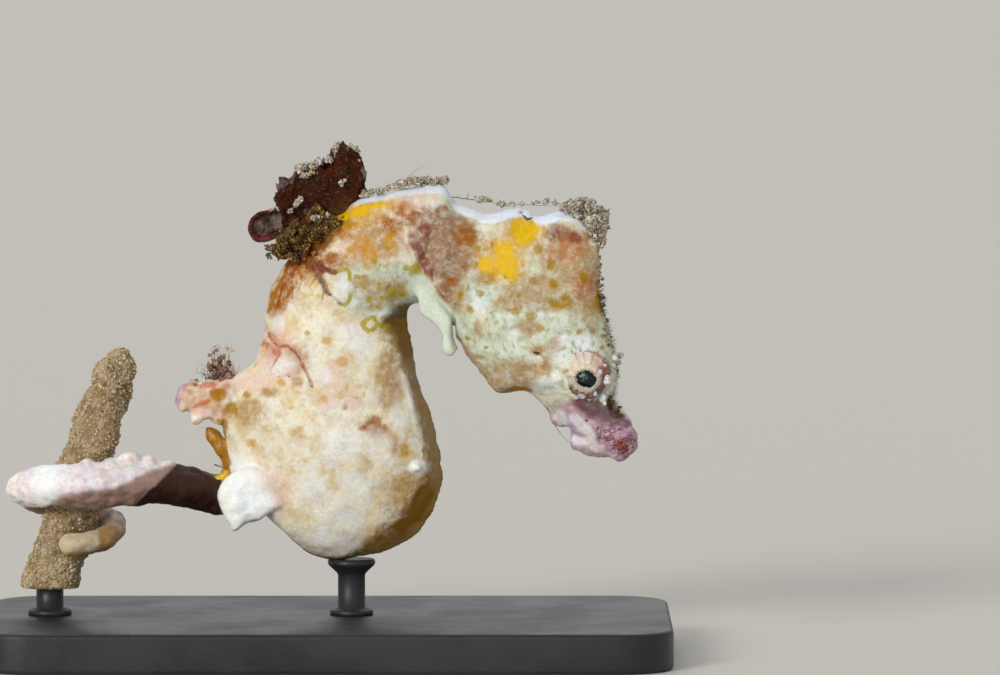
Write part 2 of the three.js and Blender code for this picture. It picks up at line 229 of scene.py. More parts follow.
class SeahorseStage(bpy.types.PropertyGroup):
    """Floor, light and camera."""

    floor: colour("Floor", 0xD8D4CC, "Plain pale floor")
    key: number("Key strength", 1.88, "Strength of the key light")
    fill: number("Fill strength", 0.8, "Strength of the fill light")
    room: number("Room strength", 0.38, "Strength of the light all round")
    lens: number("Lens", 260.0, "Focal length in millimetres", low=1)
    field: length("Field width", 12.5, "Width of the view at the object")


SETTINGS = {
    "seahorse_shape": SeahorseShape,
    "seahorse_colours": SeahorseColours,
    "seahorse_eyes": SeahorseEyes,
    "seahorse_fronds": SeahorseFronds,
    "seahorse_perch": SeahorsePerch,
    "seahorse_stage": SeahorseStage,
}


# ---- Surfaces


def through(points, t, closed=False):
    """Places on a smooth curve through the points, at shares t of the way along them.

    Between two points it is a cubic. Its slopes come from the neighbouring points, with each step
    counted as the square root of its length. A closed curve returns to its first point.
    """
    points = np.asarray(points, dtype=float)
    t = np.atleast_1d(np.asarray(t, dtype=float))
    if closed:
        spans = len(points)
        along = (t % 1.0) * spans
        i = np.floor(along).astype(int) % spans
        p0, p1, p2, p3 = (points[(i + step) % spans] for step in (-1, 0, 1, 2))
    else:
        spans = len(points) - 1
        along = np.clip(t, 0.0, 1.0) * spans
        i = np.minimum(np.floor(along).astype(int), spans - 1)
        first = 2 * points[0] - points[1]
        last = 2 * points[-1] - points[-2]
        longer = np.vstack([first, points, last])
        p0, p1, p2, p3 = (longer[i + step] for step in (0, 1, 2, 3))
    f = (along - i)[:, None]
    pairs = ((p0, p1), (p1, p2), (p2, p3))
    d0, d1, d2 = (np.sqrt(np.linalg.norm(b - a, axis=1))[:, None] for a, b in pairs)
    tiny = 1e-4
    d1 = np.where(d1 < tiny, 1.0, d1)
    d0 = np.where(d0 < tiny, d1, d0)
    d2 = np.where(d2 < tiny, d1, d2)
    s1 = ((p1 - p0) / d0 - (p2 - p0) / (d0 + d1) + (p2 - p1) / d1) * d1
    s2 = ((p2 - p1) / d1 - (p3 - p1) / (d1 + d2) + (p3 - p2) / d2) * d1
    return p1 + s1 * f + (3 * (p2 - p1) - 2 * s1 - s2) * f**2 + (2 * (p1 - p2) + s1 + s2) * f**3


def smooth_step(value, low=0.0, high=1.0):
    """0 below low, 1 above high, and an eased slope between them."""
    share = np.clip((value - low) / (high - low), 0.0, 1.0)
    return share * share * (3 - 2 * share)


def lattice_noise(places, cell, seed):
    """Smooth noise between -1 and 1: random values on a cubic lattice, blended with eased weights."""
    table = np.random.default_rng(seed).uniform(-1, 1, 4096)
    scaled = np.asarray(places) / cell
    corner = np.floor(scaled).astype(np.int64)
    f = scaled - corner
    f = f * f * (3 - 2 * f)
    total = np.zeros(len(scaled))
    for dx in (0, 1):
        for dy in (0, 1):
            for dz in (0, 1):
                at = corner + (dx, dy, dz)
                key = (at[:, 0] * 73856093) ^ (at[:, 1] * 19349663) ^ (at[:, 2] * 83492791)
                weight = np.ones(len(scaled))
                for axis, step in enumerate((dx, dy, dz)):
                    weight = weight * (f[:, axis] if step else 1 - f[:, axis])
                total += weight * table[key & 4095]
    return total


def closed_shell(rings):
    """A closed surface over rings (rows, around, 3): quads between rows and a fan to the middle of
    each end, turned outwards."""
    rows, around, _ = rings.shape
    places = np.concatenate([rings.reshape(-1, 3), rings[:1].mean(axis=1), rings[-1:].mean(axis=1)])
    i, j = (a.ravel() for a in np.meshgrid(np.arange(rows - 1), np.arange(around), indexing="ij"))
    k = (j + 1) % around
    quads = np.stack([i * around + j, i * around + k, (i + 1) * around + k, (i + 1) * around + j], axis=1)
    ring = np.arange(around)
    after = (ring + 1) % around
    start = np.stack([np.full(around, rows * around), after, ring], axis=1)
    last = (rows - 1) * around
    end = np.stack([np.full(around, rows * around + 1), last + ring, last + after], axis=1)
    return facing_out(places, [quads, start, end])


def facing_out(places, faces):
    """The same surface with its faces turned round if its signed volume is negative."""
    volume = 0.0
    for block in faces:
        for step in range(1, block.shape[1] - 1):
            a, b, c = places[block[:, 0]], places[block[:, step]], places[block[:, step + 1]]
            volume += np.einsum("ij,ij->i", a, np.cross(b, c)).sum()
    if volume < 0:
        faces = [block[:, ::-1] for block in faces]
    return places, faces


def joined(surfaces):
    """Several surfaces as one list of places and faces."""
    places = []
    faces = []
    offset = 0
    for part_places, part_faces in surfaces:
        places.append(part_places)
        faces.extend(block + offset for block in part_faces)
        offset += len(part_places)
    return np.concatenate(places), faces


def new_mesh(name, surface, scale=MM):
    """A smooth-shaded mesh of a surface, scaled from millimetres to metres."""
    places, faces = surface
    mesh = bpy.data.meshes.new(name)
    mesh.from_pydata((places * scale).tolist(), [], [face for block in faces for face in block.tolist()])
    mesh.shade_smooth()
    mesh.update()
    return mesh


def new_piece(name, mesh, material, replaced=()):
    """An object of the mesh that rides on the body, takes a finish and hides the CAD nodes it stands for.
    """
    piece = bpy.data.objects.new(name, mesh)
    bpy.context.scene.collection.objects.link(piece)
    mesh.materials.append(material)
    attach(piece, BODY)
    if replaced:
        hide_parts(*replaced)


def set_values(mesh, values):
    """Keeps numbers for each vertex of the mesh under the names that materials read."""
    for name, numbers in values.items():
        attribute = mesh.attributes.new(name, "FLOAT", "POINT")
        attribute.data.foreach_set("value", np.asarray(numbers, dtype=np.float32))


def add_piece(name, surface, values, material, slot, *replaced):
    """A piece made from a surface in millimetres, with its named numbers."""
    mesh = new_mesh(name, surface)
    set_values(mesh, values)
    new_piece(name, mesh, material, replaced)


def sweep(path, across, up, angles, half_width, half_height):
    """Rings along a path: centre + across·w·cos(a) + up·h·sin(a), with w and h given for each place."""
    a = angles[None, :, None]
    w = np.asarray(half_width).reshape(len(path), -1)[:, :, None]
    h = np.asarray(half_height).reshape(len(path), -1)[:, :, None]
    return path[:, None, :] + across[:, None, :] * w * np.cos(a) + up[:, None, :] * h * np.sin(a)


def full_turn(count):
    """Evenly spaced angles round a full turn."""
    return np.linspace(0, 2 * math.pi, count, endpoint=False)


def unit(vectors):
    """The same vectors, each one unit long."""
    return vectors / np.linalg.norm(vectors, axis=-1, keepdims=True)


def wander(places, cell, seeds):
    """A smooth random step for each place: one noise for each direction."""
    return np.stack([lattice_noise(places, cell, seed) for seed in seeds], axis=1)


def band_surface(line, y, half_width, flatness, around):
    """A band along an upright line of [x, z] places: rings whose half width lies in the line's plane,
    with flatness times as much across it."""
    path = np.stack([line[:, 0], y * np.ones(len(line)), line[:, 1]], axis=1)
    out = np.tile([0.0, 1.0, 0.0], (len(line), 1))
    across = np.cross(unit(np.gradient(path, axis=0)), out)
    return closed_shell(sweep(path, across, out, full_turn(around), half_width, flatness * half_width))


def pillow(outline, y, half_thickness, rows=26, around=150):
    """A closed leaf: each ring is the outline drawn in towards its middle by a share r, and its place
    across is y ± half_thickness·√(1 − r⁴), so the two faces meet in a rounded rim."""
    edge = through(outline, np.linspace(0, 1, around, endpoint=False), closed=True)
    middle = edge.mean(axis=0)
    q = np.linspace(-1, 1, 2 * rows + 1)
    r = np.maximum(1 - np.abs(q) ** 1.6, 0.02)
    y_at = y + np.sign(q) * half_thickness * np.sqrt(1 - np.minimum(r, 1.0) ** 4)
    flat = middle + r[:, None, None] * (edge - middle)
    across = np.broadcast_to(y_at[:, None], flat.shape[:2])
    return closed_shell(np.stack([flat[:, :, 0], across, flat[:, :, 1]], axis=2))


# ---- The seahorse's measures, in millimetres

# Each rib runs from a place [x, z] on the crown or back to one on the throat or belly. The third
# value is its half width, as a share of the named half width of its part of the body. The last is
# the breadth of the dark keel strip along its belly, whose darkness is partly painted shade.
RIBS = {
    "mouth": ((3.88, 2.86), (3.72, 2.56), "snout", 0.65, 0.0),
    "lips": ((3.84, 2.98), (3.55, 2.52), "snout", 1.0, 0.0),
    "snout_waist": ((3.62, 3.1), (3.26, 2.64), "snout", 0.9, 0.0),
    "snout_root": ((3.52, 3.22), (2.98, 2.86), "snout", 1.1, 0.0),
    "chin": ((3.6, 3.42), (2.72, 3.14), "head", 0.76, 0.0),
    "brow": ((3.6, 3.85), (2.5, 3.3), "head", 0.88, 0.0),
    "cheek": ((3.46, 4.55), (2.14, 3.32), "head", 1.0, 0.0),
    "crown": ((3.38, 5.2), (1.95, 3.55), "head", 0.92, 0.0),
    "gill_cover": ((2.92, 5.5), (1.75, 3.8), "head", 0.9, 0.0),
    "crest_notch": ((2.64, 5.48), (1.68, 3.93), "head", 0.9, 0.0),
    "crest_swell": ((2.42, 5.61), (1.62, 4.02), "head", 0.89, 0.0),
    "nape": ((2.1, 5.52), (1.52, 4.14), "head", 0.88, 0.0),
    "neck_front": ((1.7, 5.65), (1.3, 4.36), "neck", 0.95, 0.0),
    "crest": ((1.47, 5.9), (1.15, 4.4), "neck", 1.0, 0.0),
    "neck_back": ((0.95, 5.84), (1.06, 4.38), "neck", 1.08, 0.06),
    "shoulder": ((0.3, 5.62), (1.02, 4.3), "trunk", 0.8, 0.3),
    "chest_top": ((-0.35, 5.15), (1.04, 4.14), "trunk", 0.86, 0.3),
    "chest": ((-0.72, 4.5), (1.08, 3.85), "trunk", 0.92, 0.2),
    "waist": ((-0.86, 3.85), (1.18, 3.4), "trunk", 0.97, 0.17),
    "belly_top": ((-1.12, 3.4), (1.36, 2.85), "trunk", 1.0, 0.2),
    "belly": ((-1.33, 2.95), (1.45, 2.2), "trunk", 1.0, 0.24),
    "belly_end": ((-1.3, 2.68), (1.1, 1.5), "trunk", 0.9, 0.36),
    "vent": ((-1.27, 2.5), (0.25, 1.18), "trunk", 0.76, 0.08),
    "hip_front": ((-1.26, 2.4), (-0.2, 1.27), "trunk", 0.64, 0.02),
    "hip": ((-1.22, 2.22), (-0.44, 1.46), "trunk", 0.46, 0.0),
}
EDGE_SHARPNESS = 1.2
HEAD_TURN = math.radians(10)
TURN_FROM = 1.2
TURN_TO = 2.4

# The crest's edge from the frond to the crown: long swells, a step down behind the nape, one notch.
CREST = [
    (0.2, 5.54), (0.38, 5.71), (0.62, 5.77), (0.92, 5.86), (1.2, 5.9), (1.47, 5.9), (1.57, 5.74),
    (1.7, 5.65), (1.85, 5.6), (2.04, 5.54), (2.22, 5.58), (2.42, 5.61), (2.55, 5.57), (2.64, 5.48),
    (2.74, 5.52), (2.92, 5.58), (3.07, 5.56), (3.24, 5.42),
]

EYE = (3.3, 0.3, 3.57)
PUPIL = (0.045, -0.05)
OUTLINES = {
    "coronet": ((2.5, 5.3), (2.62, 5.46), (2.95, 5.54), (3.2, 5.44), (3.42, 5.15), (3.05, 5.0)),
    "back_lappet": (
        (-0.7, 3.7), (-1.2, 3.5), (-1.6, 3.4), (-1.8, 3.2), (-1.6, 3.02), (-1.35, 3.0), (-0.8, 3.2),
    ),
    "blade": (
        (1.1, 4.62), (1.14, 4.46), (1.16, 4.3), (1.3, 4.2), (1.39, 4.11), (1.46, 4.05), (1.475, 3.98),
        (1.456, 3.91), (1.46, 3.83), (1.53, 3.775), (1.6, 3.81), (1.59, 3.88), (1.55, 3.96), (1.56, 4.08),
        (1.57, 4.22), (1.5, 4.32), (1.41, 4.43), (1.32, 4.54), (1.22, 4.64),
    ),
    "tail_lappet": (
        (-1.08, 2.36), (-1.32, 2.2), (-1.38, 2.02), (-1.33, 1.88), (-1.25, 1.72), (-1.16, 1.58),
        (-1.02, 1.66), (-0.82, 1.72), (-0.66, 1.84), (-0.5, 1.92), (-0.55, 2.2), (-0.8, 2.35),
    ),
}
STRIP = [(1.16, 4.6), (1.24, 4.42), (1.36, 4.3), (1.46, 4.19), (1.51, 4.07), (1.515, 3.95), (1.53, 3.84)]
STALK = {"foot": 0.85, "top": 3.85, "foot_x": -3.48, "lean": 0.3, "knobs": 0.04}
TAIL_GAP = 0.04
WRAP = {"high": 2.18, "low": 1.43, "start_radius": 0.28, "bar_at": 0.3}
TAIL_LEAD = [(-0.95, 0.04, 1.95), (-1.45, 0.05, 2.02), (-2.03, -0.32, 2.18)]


def swung(places, angle):
    """The places swung by an angle about the upright line where the head's turn starts."""
    x, y, z = places.T
    reach = x - TURN_FROM
    cos, sin = np.cos(angle), np.sin(angle)
    return np.stack([TURN_FROM + reach * cos - y * sin, reach * sin + y * cos, z], axis=1)


def head_turned(places):
    """The places after the head's swing, which grows along the neck."""
    return swung(places, -HEAD_TURN * smooth_step(places[:, 0], TURN_FROM, TURN_TO))


def head_straightened(places):
    """The places of the head as they are before its swing; only right beyond the end of the neck."""
    return swung(places, HEAD_TURN)


def body_surface(shape, rows=430, around=150):
    """The body from mouth to hip: each ring is centre + reach·cos(a) in its rib's plane, with
    y = half width·sin(a)|sin(a)|^0.2, and a flat keel strip along the belly."""
    ribs = list(RIBS.values())
    t = np.linspace(0, 1, rows)
    back = through([rib[0] for rib in ribs], t)
    belly = through([rib[1] for rib in ribs], t)
    half_widths = {
        "snout": shape.snout_half_width / MM,
        "head": shape.head_half_width / MM,
        "neck": shape.neck_half_width / MM,
        "trunk": shape.trunk_half_width / MM,
    }
    side = through([[half_widths[rib[2]] * rib[3]] for rib in ribs], t)[:, 0]
    keel = through([[rib[4]] for rib in ribs], t)[:, 0]
    inset = shape.skin_inset / MM
    middle = (back + belly) / 2
    reach = (back - belly) / 2
    size = np.linalg.norm(reach, axis=1)
    ribs_along = t * (len(ribs) - 1)
    swell = 1 + (shape.ring_relief / MM) * np.cos(4 * math.pi * ribs_along) - inset / size
    angle = full_turn(around)
    share = np.cos(angle)[None, :] * np.ones((rows, 1))
    across = np.abs(np.sin(angle))[None, :] ** EDGE_SHARPNESS * np.ones((rows, 1))
    edge = -1 + np.maximum(keel, 1e-3)[:, None] / size[:, None]
    at_edge = (1 - edge**2) ** (EDGE_SHARPNESS / 2)
    flat = at_edge * (1 + share) / (1 + edge)
    across = np.where(share < edge, np.minimum(flat, across), across)
    flat_place = middle[:, None, :] + reach[:, None, :] * (swell[:, None] * share)[:, :, None]
    y = (side - inset)[:, None] * across * np.sign(np.sin(angle))[None, :]
    return closed_shell(np.stack([flat_place[:, :, 0], y, flat_place[:, :, 1]], axis=2))


def stalk_x(z):
    """Where the leaning stalk's middle is at a height."""
    return STALK["foot_x"] + STALK["lean"] * (z - STALK["foot"])


def tail_path(shape, stalk_radius, count=700):
    """The tail's middle line, evenly spaced: from the hip to the stalk's front, then one turn about
    the stalk, with x and y round a circle while z drops."""
    turn = np.linspace(0, 1, 11)
    angle = 2 * math.pi * turn
    z = WRAP["high"] + (WRAP["low"] - WRAP["high"]) * smooth_step(turn)
    radius = WRAP["start_radius"] + (shape.tail_tip_radius / MM - WRAP["start_radius"]) * turn
    clear = stalk_radius + STALK["knobs"] + TAIL_GAP + radius
    wrap = np.stack([stalk_x(z) - clear * np.sin(angle), -clear * np.cos(angle), z], axis=1)
    dense = through(np.vstack([TAIL_LEAD, wrap]), np.linspace(0, 1, 4000))
    run = np.concatenate([[0], np.cumsum(np.linalg.norm(np.diff(dense, axis=0), axis=1))])
    even = np.linspace(0, run[-1], count)
    return np.stack([np.interp(even, run, dense[:, k]) for k in range(3)], axis=1)


def tail_radius(shape, t):
    """The tail's radius along it: it swells to the bar, narrows to its tip and is rounded off."""
    radii = (shape.tail_root_radius, shape.tail_bar_radius, shape.tail_tip_radius)
    root, bar, tip = (radius / MM for radius in radii)
    thick = root + (bar - root) * smooth_step(t, 0.0, WRAP["bar_at"])
    narrow = np.maximum(t - WRAP["bar_at"], 0) / (1 - WRAP["bar_at"])
    rounding = np.sqrt(np.clip(1 - (np.maximum(t - 0.985, 0) / 0.0152) ** 2, 0, 1))
    return (thick + (tip - thick) * narrow) * np.maximum(rounding, 0.05)


def tail_surface(shape, stalk_radius, around=64):
    """The tail: a tube with a slightly square section and a soft swelling at each bony ring."""
    path = tail_path(shape, stalk_radius)
    t = np.linspace(0, 1, len(path))
    along = unit(np.gradient(path, axis=0))
    up = unit(np.array([0.0, 0.0, 1.0]) - along * along[:, 2:3])
    across = np.cross(up, along)
    angle = full_turn(around)
    radius = tail_radius(shape, t)[:, None] * np.ones((1, around))
    ring_wave = 0.5 + 0.5 * np.cos(2 * math.pi * 30 * t)[:, None]
    belly = 0.05 * np.sin(2 * math.pi * 3.1 * t + 1.0)[:, None]
    radius = radius * (0.93 + 0.04 * np.cos(4 * angle)[None, :] + 0.04 * ring_wave + belly)
    return closed_shell(sweep(path, across, up, angle, radius, radius))


def knob_surface(x, y, z, radius, stretch=(1.0, 1.0, 1.0)):
    """A small ball, stretched along the three axes."""
    up, turn = np.meshgrid(np.linspace(0.12, math.pi - 0.12, 16), full_turn(22), indexing="ij")
    ball = np.stack([np.sin(up) * np.cos(turn), np.sin(up) * np.sin(turn), np.cos(up)], axis=2)
    return closed_shell(np.array([x, y, z]) + radius * np.array(stretch) * ball)


# ---- Welding and relief


def welded(name, surface, grid, rounds):
    """One closed skin round several overlapping surfaces: a voxel remesh on a grid of that size,
    then rounds in which each vertex moves half way to the mean of its neighbours."""
    rough = bpy.data.objects.new(name + "_rough", new_mesh(name + "_rough", surface, 1.0))
    bpy.context.scene.collection.objects.link(rough)
    weld = rough.modifiers.new("Weld", "REMESH")
    weld.mode = "VOXEL"
    weld.voxel_size = grid
    weld.adaptivity = 0.0
    weld.use_smooth_shade = True
    graph = bpy.context.evaluated_depsgraph_get()
    mesh = bpy.data.meshes.new_from_object(rough.evaluated_get(graph))
    mesh.name = name
    old = rough.data
    bpy.data.objects.remove(rough)
    bpy.data.meshes.remove(old)
    if not mesh.vertices:
        raise RuntimeError("the welded skin of " + name + " came out empty")
    places = get_places(mesh)
    edges = np.empty(len(mesh.edges) * 2, dtype=np.int32)
    mesh.edges.foreach_get("vertices", edges)
    set_places(mesh, smoothed(places, edges.reshape(-1, 2), rounds))
    return mesh


def vectors_of(data, key):
    """A value of three numbers of each of a mesh's elements, as an array."""
    flat = np.empty(len(data) * 3, dtype=np.float32)
    data.foreach_get(key, flat)
    return flat.reshape(-1, 3).astype(float)


def get_places(mesh):
    """The places of a mesh's vertices."""
    return vectors_of(mesh.vertices, "co")


def set_places(mesh, places):
    """Moves a mesh's vertices to these places."""
    mesh.vertices.foreach_set("co", places.astype(np.float32).ravel())
    mesh.update()


def get_normals(mesh):
    """The directions in which a mesh's vertices face."""
    return vectors_of(mesh.vertex_normals, "vector")


def smoothed(places, edges, rounds):
    """Each place moves half way to the mean of its neighbours, round after round."""
    count = len(places)
    degree = np.bincount(edges.ravel(), minlength=count)[:, None]
    for _ in range(rounds):
        total = np.zeros_like(places)
        for here, there in ((0, 1), (1, 0)):
            for k in range(3):
                total[:, k] += np.bincount(edges[:, here], places[edges[:, there], k], count)
        places = places + 0.5 * (total / degree - places)
    return places


def oval(view, x, z, wide, tall=None, turn=0.0):
    """How far each place is from an oval's middle, in radii: 1 on its rim. turn is in degrees."""
    angle = math.radians(turn)
    dx = view[:, 0] - x
    dz = view[:, 1] - z
    along = (dx * math.cos(angle) + dz * math.sin(angle)) / wide
    across = (-dx * math.sin(angle) + dz * math.cos(angle)) / (tall or wide)
    return np.hypot(along, across)


def stroke(view, points, width):
    """How far each place is from a bent line through the points, in half widths."""
    nearest = np.full(len(view), 1e9)
    for start, end in zip(points[:-1], points[1:]):
        a = np.array(start)
        step = np.array(end) - a
        share = np.clip((view - a) @ step / (step @ step), 0, 1)
        nearest = np.minimum(nearest, np.linalg.norm(view - a - share[:, None] * step, axis=1))
    return nearest / width


def mark(view, ovals=(), strokes=()):
    """1 at the middle of the nearest mark, 0.75 on its rim and 0 one more radius out."""
    nearest = np.full(len(view), 9.0)
    for values in ovals:
        nearest = np.minimum(nearest, oval(view, *values))
    for points, width in strokes:
        nearest = np.minimum(nearest, stroke(view, points, width))
    return np.clip(1.5 - 0.75 * nearest, 0, 1)


def side_view(places):
    """Where each place shows on the near side, as x and z, with both sides folded onto one.
    The side is seen from a little above, so that its middle shows lower than its edges."""
    folded = places.copy()
    folded[:, 1] = -np.abs(folded[:, 1])
    turned = head_turned(folded)
    return np.stack([turned[:, 0], turned[:, 2] + 0.07 * turned[:, 1]], axis=1)


# ---- Marks of the skin, laid out on its side view in millimetres

